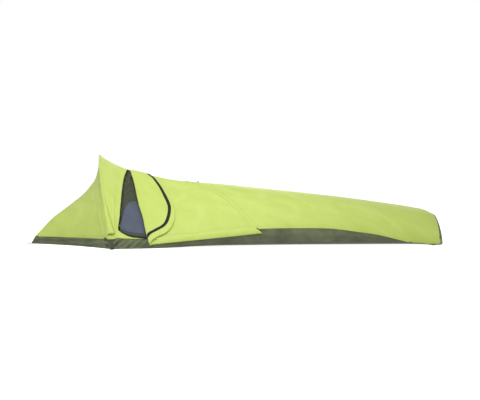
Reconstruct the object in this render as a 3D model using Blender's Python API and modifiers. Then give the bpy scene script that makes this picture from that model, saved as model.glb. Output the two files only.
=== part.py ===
"""Bivvy tent: a one person hooped shelter, built from separate named pieces.

The frame is +X towards the foot, -Y towards the door side, +Z up, in metres.
The origin is the middle of the tent's length and width, on the ground.
"""
import math

import bmesh
import bpy
import numpy as np
from mathutils import Matrix, Vector

# Units
MM = 0.001

# Overall sizes of the pitched tent
TENT_LENGTH = 3.045
BOW_LOOP_REACH = 0.025
HOOP_SETBACK = 0.63
FOOT_CROWN = 0.07
FOOT_BULGE = 3 * MM
PEAK_HEIGHT = 0.638
PEAK_LEAN = 0.126
HOOP_HALF_WIDTH = 0.42
FOOT_HALF_WIDTH = 0.25
FOOT_HEIGHT = 0.208
FOOT_LEAN = -0.009
STEM_HEIGHT = 0.060
STEM_RAKE = 0.036
STEM_HALF_WIDTH = 0.003
FLOOR_EDGE_LIFT = 0.026
WALL_TUCK = 0.050

# Cloth, tape and clearance thicknesses
CLOTH = 1.2 * MM
FLOOR_CLOTH = 1.6 * MM
TAPE = 1.0 * MM
WEBBING = 2.0 * MM
GAP = 0.3 * MM
LAYER_GAP = 0.6 * MM
SLEEVE_SEAM_GAP = 0.6 * MM

# Hoop pole, its ferrules and its sleeve
POLE_RADIUS = 4.25 * MM
POLE_WALL = 0.85 * MM
FERRULE_WALL = 0.8 * MM
FERRULE_SHARE = 0.5
POLE_SECTION_GAP = 0.8 * MM
SLEEVE_INNER = 6.3 * MM
SLEEVE_WALL = 0.8 * MM
SLEEVE_MOUTH_HALF = 26 * MM
SLEEVE_MOUTH_DEPTH = 9 * MM
SLEEVE_MOUTH_SHIFT = 9 * MM
SLEEVE_FLARE_SHARE = 0.45

# Positions along the body. A station share runs from 0 at the hoop to 1 at
# the foot seam, and from 0 to -1 towards the bow tip.
BOW_X = -TENT_LENGTH / 2 + BOW_LOOP_REACH
BODY_START_X = BOW_X + HOOP_SETBACK
BODY_END_X = TENT_LENGTH / 2 - FOOT_CROWN
STEM_TOP_X = BOW_X + STEM_RAKE
PEAK_X = BODY_START_X - PEAK_LEAN
FOOT_TOP_X = BODY_END_X - FOOT_LEAN

# Ridge line behind the hoop: station share and share of the drop still to go
REAR_RIDGE_SHARES = (
    (0, 1), (0.012, 0.955), (0.035, 0.88), (0.073, 0.78), (0.12, 0.715), (0.165, 0.645),
    (0.21, 0.595), (0.27, 0.558), (0.36, 0.517), (0.48, 0.447), (0.6, 0.372), (0.72, 0.292),
    (0.84, 0.198), (0.94, 0.112), (0.975, 0.07), (0.99, 0.03), (1, 0))
# Centre seam of the bow: share of the way to the stem, share of the drop
BOW_RIDGE_SHARES = (
    (0, 1), (0.025, 0.85), (0.065, 0.732), (0.13, 0.642), (0.25, 0.53), (0.44, 0.403),
    (0.63, 0.287), (0.75, 0.212), (0.87, 0.11), (1, 0))
# Height of the seam between tub and canopy, as a share of the peak height
HOOP_SEAM_SHARE = 0.115
REAR_SEAM_SHARES = (
    (0, HOOP_SEAM_SHARE), (0.05, 0.104), (0.1, 0.1), (0.16, 0.107), (0.3, 0.156), (0.436, 0.204),
    (0.56, 0.210), (0.68, 0.194), (0.74, 0.163), (0.8, 0.130), (0.865, 0.072), (0.915, 0.024),
    (0.93, 0.010), (1, 0.006))
# On the bow that seam runs down from the hoop to the stem: share of that drop
STEM_SEAM_SHARE = 0.936
BOW_SEAM_SHARES = ((0, 0), (0.25, 0.35), (1, 1))
# How far the floor's edge lifts off the ground
FLOOR_LIFT_SHARES = (
    (0, 0), (0.15, 0.12), (0.24, 0.42), (0.3, 0.69), (0.43, 0.98), (0.56, 0.98), (0.69, 1), (0.79, 0.96),
    (0.88, 0.68), (0.945, 0.3), (0.965, 0.06), (0.98, 0), (1, 0))
# How pointed each cross section is, and how flat the door side is pulled
POINT_POWER_SHARES = (
    (-1, 1.1), (-0.25, 1.1), (-0.065, 1.2), (0, 1.45), (0.06, 1.35), (0.15, 1.2), (0.5, 1.1), (1, 1))
DOOR_FLATNESS_SHARES = (
    (-1, 0), (0, 0), (0.05, 0.5), (0.095, 0.9), (0.2, 0.75), (0.35, 0.35), (0.5, 0.1), (0.7, 0), (1, 0))
BOW_PLAN_HOLLOW_SHARE = 0.5

# Stations of the sheets
REAR_STATION_SHARES = (
    0, 0.02, 0.045, 0.075, 0.105, 0.14, 0.18, 0.23, 0.29, 0.36, 0.436, 0.52, 0.6, 0.68, 0.76, 0.83,
    0.89, 0.93, 0.96, 0.985, 1)
BOW_STATION_SHARES = (-1, -0.93, -0.83, -0.7, -0.55, -0.4, -0.27, -0.17, -0.1, -0.055, -0.025, 0)
FLOOR_COLUMN_SHARES = (-1, -0.85, -0.7, -0.55, -0.25, 0.25, 0.55, 0.7, 0.85, 1)
FLOOR_FLAT_SHARE = 0.55
FOOT_CORNER_SHARE = 0.9
TUB_END_SHARE = 0.915
TUB_ROW_SHARES = (0, 0.12, 0.3, 0.55, 0.8, 1)
RISE_SHARES = (0, 0.03, 0.07, 0.12, 0.2, 0.28, 0.37, 0.48, 0.6, 0.73, 0.86, 0.94, 1)
POLE_LEG_SHARE = 0.37

# Outlines on the door side: rise share up the canopy, station share
OPENING_EDGE_SHARES = (
    (0, 0.1), (0.03, 0.0464), (0.07, 0.028), (0.185, 0.0392), (0.332, 0.0512), (0.519, 0.0625), (1, 0.074))
DOOR_FRONT_SHARE = 0.105
DOOR_REAR_SHARE = 0.436
FOLD_SHARES = (
    (0, 0.1076), (0.05, 0.1076), (0.105, 0.1062), (0.186, 0.1052), (0.318, 0.0992), (0.361, 0.0982),
    (0.556, 0.0955), (0.8625, 0.0895), (1, 0.0885))
DOOR_REAR_SHARES = (
    (0, DOOR_REAR_SHARE), (0.125, 0.416), (0.278, 0.398), (0.543, 0.354), (0.886, 0.283), (1, 0.262))
FLAP_EDGE_SHARES = (
    (0, 0.109), (0.012, 0.1105), (0.042, 0.121), (0.073, 0.1415), (0.109, 0.163), (0.134, 0.172),
    (0.174, 0.180), (0.215, 0.186), (0.267, 0.191), (0.331, 0.194), (0.39, 0.1923), (0.457, 0.188),
    (0.533, 0.1827), (0.627, 0.1755), (0.73, 0.1665), (0.836, 0.158), (0.917, 0.1495), (1, 0.146))
STRIP_EDGE_SHARES = (
    (0.1105, -0.0402), (0.125, -0.007), (0.1423, 0.0173), (0.165, 0.044), (0.1843, 0.0966), (0.1985, 0.18),
    (0.2031, 0.31), (0.1935, 0.46))

# Zip tapes of the doorway
ZIP_BAND = 21 * MM
SILL_BAND = 8 * MM
TAPE_GAP = 1.4 * MM
ZIP_TEETH_HALF = 1.5 * MM
FRONT_TAPE_HALF = 9 * MM
REAR_TAPE_HALF = 15 * MM
BOTTOM_TAPE_WIDTH = 20 * MM
SILL_PATH_SHARES = (
    (0.0300, 0.062), (0.0392, 0.0402), (0.0532, 0.0205), (0.0682, 0.0095), (0.0796, 0.006),
    (0.0935, 0.005), (0.104, 0.005))

# Folded flap, with its zip tape and strip; rear storm flap
FLAP_GAP = 2.4 * MM
FLAP_SWELL = 5 * MM
FLAP_WIDEST_SHARE = 0.105
FLAP_WAVE_SHARE = 9
FLAP_WAY_SHARES = (0, 0.12, 0.3, 0.5, 0.7, 0.88, 1)
ZIP_LEAST_SHARE = 0.08
ZIP_BAND_SHARES = (
    (0, 0.85), (0.1, 0.95), (0.2, 1), (0.35, 1), (0.5, 0.95), (0.7, 0.8), (0.9, 0.7), (1, 0.65))
STRIP_STANDOFF = 8 * MM
STRIP_SEAM_GAP = 1.8 * MM
STRIP_ROOT_SHARE = 0.4
STORM_FLAP_FRONT = 26 * MM
STORM_FLAP_REAR = 16 * MM

# Hem over the bottom zip, and the line of that zip, measured back from the hoop
HEM_CLOTH = 1.6 * MM
HEM_STANDOFF = 13 * MM
HEM_HINGE_RISE = 9 * MM
HEM_FRONT_RUN = 0.282
HEM_REAR_RUN = 1.026
HEM_FRONT_HEIGHT = 0.028
HEM_REAR_HEIGHT = 0.099
HEM_TOP_FRONT_SHARE = 0.1695
HEM_TOP_REAR_SHARE = 0.418
HEM_TOP_RISE_SHARE = 0.03
HEM_WAY_SHARES = (0, 0.08, 0.2, 0.35, 0.5, 0.65, 0.8, 0.92, 1)
HEM_ROW_SHARES = (0, 0.35, 0.7, 0.9, 1)
HEM_FRONT_EDGE_SHARES = ((0, 0), (0.35, 0.3), (0.7, 0.7), (0.9, 0.92), (1, 1))
ZIP_FRONT_RUN = 0.262
ZIP_REAR_RUN = 0.985
ZIP_FRONT_DROP = 0.013
ZIP_REAR_DROP = 0.022

# Insect screen, inside the door
SCREEN_SETBACK = 22 * MM
SCREEN_SIDE_GAP = 16 * MM
SCREEN_REAR_GAP = 58 * MM
SCREEN_TOP_SHARE = 0.94
SCREEN_TOP_GAP = 0.8 * MM
SCREEN_SEAM_SHARE = 0.0008
SPLIT_SEAM_SHARE = 0.002
SCREEN_FOOT_SHARES = (0.024, 0.037, 0.059)
SCREEN_FOOT_LIFT_SHARES = ((0, 0.034), (0.03, 0.02), (0.06, 0.01), (0.1, 0), (1, 0))
DOORWAY_CORNER_SHARE = 0.07
SCREEN_WAY_SHARES = (0, 0.03, 0.06, 0.1, 0.2, 0.32, 0.45, 0.6, 0.75, 0.88, 1)
SCREEN_SPLIT_SHARES = ((0, 0.15), (0.03, 0.3), (0.06, 0.35), (0.1, 0.372), (0.2, 0.38), (1, 0.385))

SCREEN_SLIDE_SHARES = (0.2, 0.94)
SCREEN_RUNNING_GAP = 1.5 * MM
SCREEN_HINGE_INSET = 20 * MM
SCREEN_HINGE_DROP = 25 * MM
DOOR_HINGE_RISE = 6 * MM
DOOR_HINGE_FRONT_SHARE = 0.089
DOOR_HINGE_REAR_SHARE = 0.262

# Zip sliders and their pulls
DOOR_SLIDER_SHARE = 0.07
SLIDER_LENGTH = 15 * MM
SLIDER_WIDTH = 10 * MM
SLIDER_DEPTH = 3.6 * MM
PULL_LENGTH = 26 * MM
PULL_WIDTH = 6 * MM
PULL_THICKNESS = 1.4 * MM
PULL_CLEAR_SHARE = 0.75
PULL_HOLE_LENGTH = 3 * MM
PULL_HOLE_WIDTH = 2.4 * MM

# Pole tips, pole pockets and sleeve tabs
TIP_LENGTH = 5 * MM
TIP_TAPER_SHARE = 0.7
TIP_CLEAR_SHARE = 0.1
POCKET_HALF_WIDTH = 42 * MM
POCKET_LOW = 5 * MM
POCKET_HIGH = PEAK_HEIGHT * HOOP_SEAM_SHARE - 6 * MM
POCKET_SLOPE_SHARE = 0.35
POCKET_COLUMN_SHARES = (-1, -0.36, -0.22, -0.12, 0, 0.12, 0.22, 0.36, 1)
TAB_LOW = POCKET_HIGH + LAYER_GAP
TAB_HIGH = POCKET_HIGH + 21 * MM
TAB_COLUMN_SHARES = (-0.5, -0.36, -0.22, -0.12, 0, 0.12, 0.22, 0.36, 0.5)

# Peg loops, ridge loop and foot stay
LOOP_WIDTH = 26 * MM
LOOP_LENGTH = 33 * MM
LOOP_END = 4 * MM
LOOP_SLOT_WIDTH = 14 * MM
LOOP_SLOT_LENGTH = 18 * MM
FOOT_LOOP_SHARE = 0.975
RIDGE_LOOP_SHARE = 0.29
RIDGE_LOOP_RADIUS = 7 * MM
RIDGE_LOOP_WIDTH = 10 * MM
STAY_RADIUS = 2.5 * MM
STAY_SHARE = 0.985
STAY_INSET = 4.2 * MM
STAY_LOW_SHARE = 0.14
STAY_TOP_SHARE = 0.95
STAY_BEND_SHARE = 1.5
STAY_POCKET_SHARES = (0.971, 0.981, 0.985, 0.989, 0.996)
STAY_POCKET_RISE_SHARES = (0.12, 0.24)

# Step of a finite difference along the skin, and the least sharp edge
STEP_SHARE = 0.004
SEARCH_SHARE = 0.2
SEARCH_ROUNDS = 24
SHARP_DEGREES = 40

NEAR = -1
FAR = 1

# Colours, as red, green and blue in linear light, with roughness and metal
LIME = ((0.62, 0.76, 0.22), 0.62, 0.0)
OLIVE = ((0.115, 0.125, 0.080), 0.60, 0.0)
BLACK = ((0.012, 0.013, 0.010), 0.55, 0.0)
NET = ((0.055, 0.062, 0.040), 0.80, 0.0)
SLATE = ((0.105, 0.123, 0.160), 0.75, 0.0)
METAL = ((0.55, 0.56, 0.58), 0.32, 1.0)
DARK_METAL = ((0.10, 0.10, 0.10), 0.40, 1.0)


def clear_scene():
    for item in list(bpy.data.objects):
        bpy.data.objects.remove(item, do_unlink=True)


def new_collection(name):
    collection = bpy.data.collections.new(name)
    bpy.context.scene.collection.children.link(collection)
    return collection


def finish_material(name, look):
    material = bpy.data.materials.new(name)
    material.use_nodes = True
    shader = material.node_tree.nodes["Principled BSDF"]
    colour, roughness, metal = look
    shader.inputs["Base Color"].default_value = (*colour, 1)
    shader.inputs["Roughness"].default_value = roughness
    shader.inputs["Metallic"].default_value = metal
    return material


def straight_table(table, share):
    """Read a table of pairs along straight lines."""
    if share <= table[0][0]:
        return table[0][1]
    for (x0, y0), (x1, y1) in zip(table, table[1:]):
        if share <= x1:
            return y0 + (y1 - y0) * (share - x0) / (x1 - x0)
    return table[-1][1]


def smooth_table(table, share):
    """Read a table of pairs along a smooth curve through them."""
    if share <= table[0][0]:
        return table[0][1]
    if share >= table[-1][0]:
        return table[-1][1]
    last = len(table) - 1
    steps = [x1 - x0 for (x0, _), (x1, _) in zip(table, table[1:])]
    rates = [(b[1] - a[1]) / step for a, b, step in zip(table, table[1:], steps)]

    def slope(i):
        if i == 0:
            return rates[0]
        if i == last:
            return rates[-1]
        return (rates[i - 1] * steps[i] + rates[i] * steps[i - 1]) / (steps[i - 1] + steps[i])

    i = next(k for k in range(last) if share <= table[k + 1][0])
    t = (share - table[i][0]) / steps[i]
    rise_a = slope(i) * steps[i]
    rise_b = slope(i + 1) * steps[i]
    return ((2 * t**3 - 3 * t**2 + 1) * table[i][1] + (t**3 - 2 * t**2 + t) * rise_a
            + (3 * t**2 - 2 * t**3) * table[i + 1][1] + (t**3 - t**2) * rise_b)


def mix(a, b, share):
    return a + (b - a) * share


class Section:
    """The cross section of the tent's skin at one station."""

    def __init__(self, u):
        if u <= 0:
            way = -u
            self.base_x = mix(BODY_START_X, BOW_X, way)
            self.top_x = mix(PEAK_X, STEM_TOP_X, way)
            self.top = mix(STEM_HEIGHT, PEAK_HEIGHT, smooth_table(BOW_RIDGE_SHARES, way))
            hollow = 1 - BOW_PLAN_HOLLOW_SHARE * way
            self.half = HOOP_HALF_WIDTH * (1 - way) * hollow + STEM_HALF_WIDTH * way
            self.seam = mix(PEAK_HEIGHT * HOOP_SEAM_SHARE, STEM_HEIGHT * STEM_SEAM_SHARE,
                            smooth_table(BOW_SEAM_SHARES, way))
            self.lift = 0
            self.tuck = 0
        else:
            self.base_x = mix(BODY_START_X, BODY_END_X, u)
            self.top_x = mix(PEAK_X, FOOT_TOP_X, u)
            self.top = mix(FOOT_HEIGHT, PEAK_HEIGHT, smooth_table(REAR_RIDGE_SHARES, u))
            self.half = mix(HOOP_HALF_WIDTH, FOOT_HALF_WIDTH, u)
            self.lift = FLOOR_EDGE_LIFT * smooth_table(FLOOR_LIFT_SHARES, u)
            self.tuck = WALL_TUCK * math.sin(math.pi * u)**2
            self.seam = max(PEAK_HEIGHT * smooth_table(REAR_SEAM_SHARES, u), self.lift + 2 * CLOTH)
        self.power = straight_table(POINT_POWER_SHARES, u)
        self.flatness = straight_table(DOOR_FLATNESS_SHARES, u)
        self.seam_angle = math.asin(min(1, (self.seam - self.lift) / (self.top - self.lift)))

    def point(self, side, angle):
        height = mix(self.lift, self.top, math.sin(angle))
        reach = self.half * max(math.cos(angle), 0)**self.power
        if height < self.seam:
            reach -= self.tuck * (1 - (height - self.lift) / (self.seam - self.lift))**2
        elif side == NEAR:
            seam_reach = self.half * math.cos(self.seam_angle)**self.power
            chord = seam_reach * (self.top - height) / (self.top - self.seam)
            reach = mix(reach, chord, self.flatness)
        along = mix(self.base_x, self.top_x, (height - self.lift) / (self.top - self.lift))
        return np.array((along, side * (reach + GAP / 2), height))


def skin(side, u, rise):
    """A point of the skin: rise is 0 at the tub seam, 1 at the ridge, below 0 on the tub."""
    section = Section(u)
    angle = mix(section.seam_angle, math.pi / 2, rise)
    return section.point(side, max(angle, 0))


def tub_rise(u, share):
    """The rise value at a share of the tub wall's height, from its foot at 0."""
    section = Section(u)
    angle = section.seam_angle * share
    return (angle - section.seam_angle) / (math.pi / 2 - section.seam_angle)


def skin_normal(side, u, rise):
    du = STEP_SHARE
    dr = 5 * STEP_SHARE
    along = skin(side, min(u + du, 1), rise) - skin(side, max(u - du, -1), rise)
    up = skin(side, u, min(rise + dr, 1)) - skin(side, u, min(rise + dr, 1) - 2 * dr)
    normal = np.cross(along, up) * -side
    return normal / np.linalg.norm(normal)


def lifted(side, u, rise, lift):
    """A point that stands off the skin by lift, outwards."""
    return skin(side, u, rise) + skin_normal(side, u, rise) * lift


def grid_sheet(name, columns, rows, place, thickness, look, outward=1, wrap=False):
    """A grid primitive draped through place(i, j), then given its thickness."""
    mesh = bpy.data.meshes.new(name)
    grid = bmesh.new()
    bmesh.ops.create_grid(grid, x_segments=columns - 1, y_segments=rows - 1, size=1)
    for vertex in grid.verts:
        i = round((vertex.co.x + 1) / 2 * (columns - 1))
        j = round((vertex.co.y + 1) / 2 * (rows - 1))
        vertex.co = Vector(place(i, j))
    if wrap:
        bmesh.ops.remove_doubles(grid, verts=grid.verts, dist=GAP / 10)
    if outward < 0:
        bmesh.ops.reverse_faces(grid, faces=grid.faces)
    grid.to_mesh(mesh)
    grid.free()
    mesh.shade_smooth()
    sheet = bpy.data.objects.new(name, mesh)
    tent.objects.link(sheet)
    solid = sheet.modifiers.new("thickness", "SOLIDIFY")
    solid.thickness = thickness
    solid.offset = 1
    mesh.materials.append(finish_material(name, look))
    return sheet


def skin_sheet(name, side, columns, rows, station, lift, thickness, look):
    """A sheet on the skin: station(i, j) gives its station and rise, lift(i, j) its standoff."""
    def place(i, j):
        u, rise = station(i, j)
        return lifted(side, u, rise, lift(i, j))
    return grid_sheet(name, columns, rows, place, thickness, look, outward=-side)


def flat_on(_i, _j):
    return 0


def reach_station(side, rise, direction, distance):
    """The station where the skin is a distance away from the line of the hoop."""
    start = skin(side, 0, rise)
    near_share = 15 * STEP_SHARE
    tangent = skin(side, 0, min(rise + near_share, 1)) - skin(side, 0, rise - near_share)
    tangent = tangent / np.linalg.norm(tangent)
    low = 0
    high = SEARCH_SHARE
    for _ in range(SEARCH_ROUNDS):
        middle = (low + high) / 2
        away = skin(side, direction * middle, rise) - start
        away = away - tangent * np.dot(away, tangent)
        if np.linalg.norm(away) < distance:
            low = middle
        else:
            high = middle
    return direction * high


def sleeve_flare(rise):
    """How far the sleeve has opened: 1 at its mouth and 0 above the flare."""
    return max(0, 1 - rise / SLEEVE_FLARE_SHARE)**2


def sleeve_half_width(rise):
    return mix(SLEEVE_INNER + SLEEVE_WALL, SLEEVE_MOUTH_HALF, sleeve_flare(rise))


def sleeve_shift(rise):
    return SLEEVE_MOUTH_SHIFT * sleeve_flare(rise)


def behind_sleeve(side, rise):
    return reach_station(side, rise, 1, sleeve_half_width(rise) + sleeve_shift(rise) + SLEEVE_SEAM_GAP)


def before_sleeve(side, rise):
    return reach_station(side, rise, -1, sleeve_half_width(rise) - sleeve_shift(rise) + SLEEVE_SEAM_GAP)


def share_gap(distance):
    """A small distance along the body, as a station share."""
    return distance / (BODY_END_X - BODY_START_X)


def build_groundsheet():
    stations = BOW_STATION_SHARES[:-1] + REAR_STATION_SHARES
    across = FLOOR_COLUMN_SHARES

    def place(i, j):
        section = Section(stations[i])
        share = across[j]
        rise = max(0, abs(share) - FLOOR_FLAT_SHARE) / (1 - FLOOR_FLAT_SHARE)
        half = max(section.half - section.tuck - GAP, GAP)
        along = section.base_x
        if stations[i] == -1:
            along += 4 * STEM_HALF_WIDTH
        if stations[i] == 1:
            along += (FOOT_CROWN - 2 * CLOTH) * (1 - share**2)
        return (along, share * half, section.lift * rise**2)
    grid_sheet("groundsheet", len(stations), len(across), place, FLOOR_CLOTH, OLIVE)


def build_tub_walls():
    heights = TUB_ROW_SHARES
    rear = [u for u in REAR_STATION_SHARES if u < TUB_END_SHARE] + [TUB_END_SHARE]
    rear[0] = share_gap(GAP)
    bow = list(BOW_STATION_SHARES)
    bow[-1] = -share_gap(GAP)
    for side, word in ((NEAR, "near"), (FAR, "far")):
        def on_rear(i, j):
            return rear[i], tub_rise(rear[i], heights[j])

        def on_bow(i, j):
            return bow[i], tub_rise(bow[i], heights[j])
        skin_sheet("tub_wall_" + word, side, len(rear), len(heights), on_rear, flat_on, CLOTH, OLIVE)
        skin_sheet("tub_bow_wall_" + word, side, len(bow), len(heights), on_bow, flat_on, CLOTH, OLIVE)


def panel_rise(j):
    """Rows of a canopy panel; the lowest starts a gap above the tub."""
    return max(RISE_SHARES[j], STEP_SHARE)


def build_canopy():
    rows = len(RISE_SHARES)
    bow = BOW_STATION_SHARES
    for side, word in ((NEAR, "near"), (FAR, "far")):
        def on_bow(i, j):
            rise = panel_rise(j)
            end = before_sleeve(side, rise)
            return mix(-1, end, bow[i] + 1), rise
        skin_sheet("bow_panel_" + word, side, len(bow), rows, on_bow, flat_on, CLOTH, LIME)

    def on_hoop_panel(i, j):
        rise = panel_rise(j)
        start = behind_sleeve(NEAR, rise)
        end = straight_table(OPENING_EDGE_SHARES, RISE_SHARES[j])
        return mix(start, end, i / 3), rise
    skin_sheet("hoop_panel", NEAR, 4, rows, on_hoop_panel, flat_on, CLOTH, LIME)

    def on_door(i, j):
        rise = panel_rise(j)
        start = smooth_table(FOLD_SHARES, RISE_SHARES[j])
        end = smooth_table(DOOR_REAR_SHARES, RISE_SHARES[j]) - share_gap(ZIP_TEETH_HALF)
        return mix(start, end, door_ways[i]), rise
    door_stations = [u for u in REAR_STATION_SHARES if DOOR_FRONT_SHARE <= u <= DOOR_REAR_SHARE]
    door_ways = [(u - DOOR_FRONT_SHARE) / (DOOR_REAR_SHARE - DOOR_FRONT_SHARE) for u in door_stations]
    skin_sheet("door_panel", NEAR, len(door_ways), rows, on_door, flat_on, CLOTH, LIME)

    rear_stations = [u for u in REAR_STATION_SHARES if u >= DOOR_REAR_SHARE]
    rear_ways = [(u - DOOR_REAR_SHARE) / (1 - DOOR_REAR_SHARE) for u in rear_stations]

    def on_rear(i, j):
        rise = panel_rise(j)
        start = smooth_table(DOOR_REAR_SHARES, RISE_SHARES[j]) + share_gap(ZIP_TEETH_HALF)
        return mix(start, 1, rear_ways[i]), rise
    skin_sheet("rear_panel", NEAR, len(rear_ways), rows, on_rear, flat_on, CLOTH, LIME)

    def on_far(i, j):
        rise = panel_rise(j)
        start = behind_sleeve(FAR, rise)
        return mix(start, 1, REAR_STATION_SHARES[i]), rise
    skin_sheet("far_panel", FAR, len(REAR_STATION_SHARES), rows, on_far, flat_on, CLOTH, LIME)


def build_foot():
    """A crowned end panel, ruled from the foot seam down to the floor's end."""
    rows = 7
    columns = 17
    section = Section(1)

    def place(i, j):
        share = i / (columns - 1) * 2 - 1
        side = NEAR if share < 0 else FAR
        rim = section.point(side, (1 - abs(share)) * math.pi / 2)
        reach = share * FOOT_CORNER_SHARE
        crown = (FOOT_CROWN - CLOTH) * (1 - reach**2)
        ground = np.array((BODY_END_X + crown, reach * FOOT_HALF_WIDTH, 0))
        down = j / (rows - 1)
        point = mix(rim, ground, down)
        point[0] += GAP + FOOT_BULGE * math.sin(math.pi * down) * (1 - share**2)
        return point
    grid_sheet("foot_panel", columns, rows, place, CLOTH, OLIVE, outward=-1)


def hoop_point(side, rise):
    """A point on the pole's middle line, which stands clear of the tub at its foot."""
    section = Section(0)
    point = skin(side, 0, rise)
    share = min(1, max(0, (point[2] - section.seam) / section.seam))
    point[1] += side * (CLOTH + GAP + POLE_RADIUS) * (1 - share)**2
    if rise == 1:
        point[1] = 0
    return point


def hoop_places(first_rises):
    """Sides and rises over the hoop, from the near foot to the far one."""
    return [(NEAR, r) for r in first_rises] + [(FAR, r) for r in reversed(first_rises[:-1])]


def directions(points):
    result = []
    for i in range(len(points)):
        ahead = points[min(i + 1, len(points) - 1)] - points[max(i - 1, 0)]
        result.append(ahead / np.linalg.norm(ahead))
    return result


def tube(name, points, headings, size, wall, look, sides=12):
    """An open ended tube; size(i) gives its half width, half depth and sideways shift."""
    hoop_axis = np.array((PEAK_HEIGHT, 0, PEAK_LEAN)) / math.hypot(PEAK_HEIGHT, PEAK_LEAN)

    def place(i, j):
        outer = np.cross(hoop_axis, headings[i])
        outer = outer / np.linalg.norm(outer)
        turn = 2 * math.pi * (j % sides) / sides
        half, depth, shift = size(i)
        offset = hoop_axis * (half * math.cos(turn) + shift) + outer * depth * math.sin(turn)
        return points[i] + offset
    shell = grid_sheet(name, len(points), sides + 1, place, wall, look, wrap=True)
    shell.modifiers["thickness"].offset = -1
    return shell


def pole_size(_i):
    return POLE_RADIUS, POLE_RADIUS, 0


def ferrule_size(_i):
    radius = POLE_RADIUS + GAP + FERRULE_WALL
    return radius, radius, 0


def build_hoop():
    foot_rises = tuple(tub_rise(0, share) for share in TUB_ROW_SHARES[1:-1])
    rises = foot_rises + RISE_SHARES
    points = [hoop_point(side, rise) for side, rise in hoop_places(rises)]
    headings = directions(points)
    last = len(points) - 1
    leg = len(foot_rises) + RISE_SHARES.index(POLE_LEG_SHARE)
    joints = (0, leg, last // 2, last - leg, last)
    names = ("pole_leg_near", "pole_crown_near", "pole_crown_far", "pole_leg_far")
    for name, start, end in zip(names, joints, joints[1:]):
        part = list(points[start:end + 1])
        if start > 0:
            part[0] = part[0] + headings[start] * POLE_SECTION_GAP
        tube(name, part, headings[start:end + 1], pole_size, POLE_WALL, METAL)
    for word, joint in zip(("near", "crown", "far"), joints[1:-1]):
        before = mix(points[joint], points[joint - 1], FERRULE_SHARE)
        after = mix(points[joint], points[joint + 1], FERRULE_SHARE)
        middle = points[joint]
        way_in = (middle - before) / np.linalg.norm(middle - before)
        way_out = (after - middle) / np.linalg.norm(after - middle)
        tube("pole_ferrule_" + word, [before, middle, after], [way_in, headings[joint], way_out],
             ferrule_size, FERRULE_WALL, METAL)


def build_sleeve():
    """The cloth tube that the hoop pole is pushed through, flared at both mouths."""
    places = hoop_places(RISE_SHARES[1:])
    points = [hoop_point(side, rise) for side, rise in places]

    def size(i):
        rise = places[i][1]
        depth = mix(SLEEVE_INNER + SLEEVE_WALL, SLEEVE_MOUTH_DEPTH, sleeve_flare(rise))
        return sleeve_half_width(rise), depth, sleeve_shift(rise)
    tube("hoop_sleeve", points, directions(points), size, SLEEVE_WALL, LIME, sides=16)


def aside(u, rise, heading, distance):
    """Move a place on the near skin by a distance square to a heading, up for plus."""
    low = min(rise, 1 - 2 * STEP_SHARE)
    along = (skin(NEAR, u + STEP_SHARE, rise) - skin(NEAR, u, rise)) / STEP_SHARE
    up = (skin(NEAR, u, low + 2 * STEP_SHARE) - skin(NEAR, u, low)) / (2 * STEP_SHARE)
    run = along * heading[0] + up * heading[1]
    square = np.cross(skin_normal(NEAR, u, rise), run)
    target = square / np.linalg.norm(square) * distance
    metric = np.array(((along @ along, along @ up), (along @ up, up @ up)))
    du, dr = np.linalg.solve(metric, (along @ target, up @ target))
    return u + du, rise + dr


def path_band(name, path, low, high, lift, thickness, look):
    """A strip of the near side along a path of places, from low to high across it."""
    def place(i, j):
        ahead = path[min(i + 1, len(path) - 1)]
        behind = path[max(i - 1, 0)]
        heading = (ahead[0] - behind[0], ahead[1] - behind[1])
        u, rise = aside(*path[i], heading, (low, high)[j])
        return lifted(NEAR, u, rise, lift)
    return grid_sheet(name, len(path), 2, place, thickness, look)


def build_doorway_tapes():
    """Zip tapes sewn inside the doorway's edges; the door's teeth mesh with them."""
    under = -(TAPE + TAPE_GAP)

    def on_front(i, j):
        rise = RISE_SHARES[j + 3]
        edge = straight_table(OPENING_EDGE_SHARES, rise)
        return edge + (2 * i - 1) * share_gap(FRONT_TAPE_HALF), rise
    skin_sheet("front_zip_tape", NEAR, 2, len(RISE_SHARES) - 3, on_front,
               lambda i, j: under, TAPE, BLACK)
    path_band("sill_zip_tape", SILL_PATH_SHARES, -SILL_BAND / 2, SILL_BAND,
              -(TAPE + LAYER_GAP), TAPE, BLACK)

    def on_rear(i, j):
        rise = panel_rise(j)
        edge = smooth_table(DOOR_REAR_SHARES, RISE_SHARES[j])
        return edge + (2 * i - 1) * share_gap(REAR_TAPE_HALF), rise
    skin_sheet("rear_zip_tape", NEAR, 2, len(RISE_SHARES) - 1, on_rear,
               lambda i, j: under, TAPE, BLACK)


def flap_lift(way, rise):
    """How far the folded flap stands off the door: flat at its ends, with soft folds."""
    waves = (1 + math.sin(FLAP_WAVE_SHARE * rise)) / 2
    width = straight_table(FLAP_EDGE_SHARES, rise) - smooth_table(FOLD_SHARES, rise)
    swell = FLAP_SWELL * width / FLAP_WIDEST_SHARE * math.sin(math.pi * min(way, 1))
    rise_off_fold = max(min(way / FLAP_WAY_SHARES[1], 1), math.sqrt(math.sin(math.pi * rise)))
    return CLOTH + mix(GAP, FLAP_GAP, rise_off_fold) + swell * waves


def flap_station(way, rise):
    """A station on the folded flap: way 0 at the fold and 1 at its free edge."""
    start = smooth_table(FOLD_SHARES, rise) + share_gap(GAP)
    return mix(start, straight_table(FLAP_EDGE_SHARES, rise), way)


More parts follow.
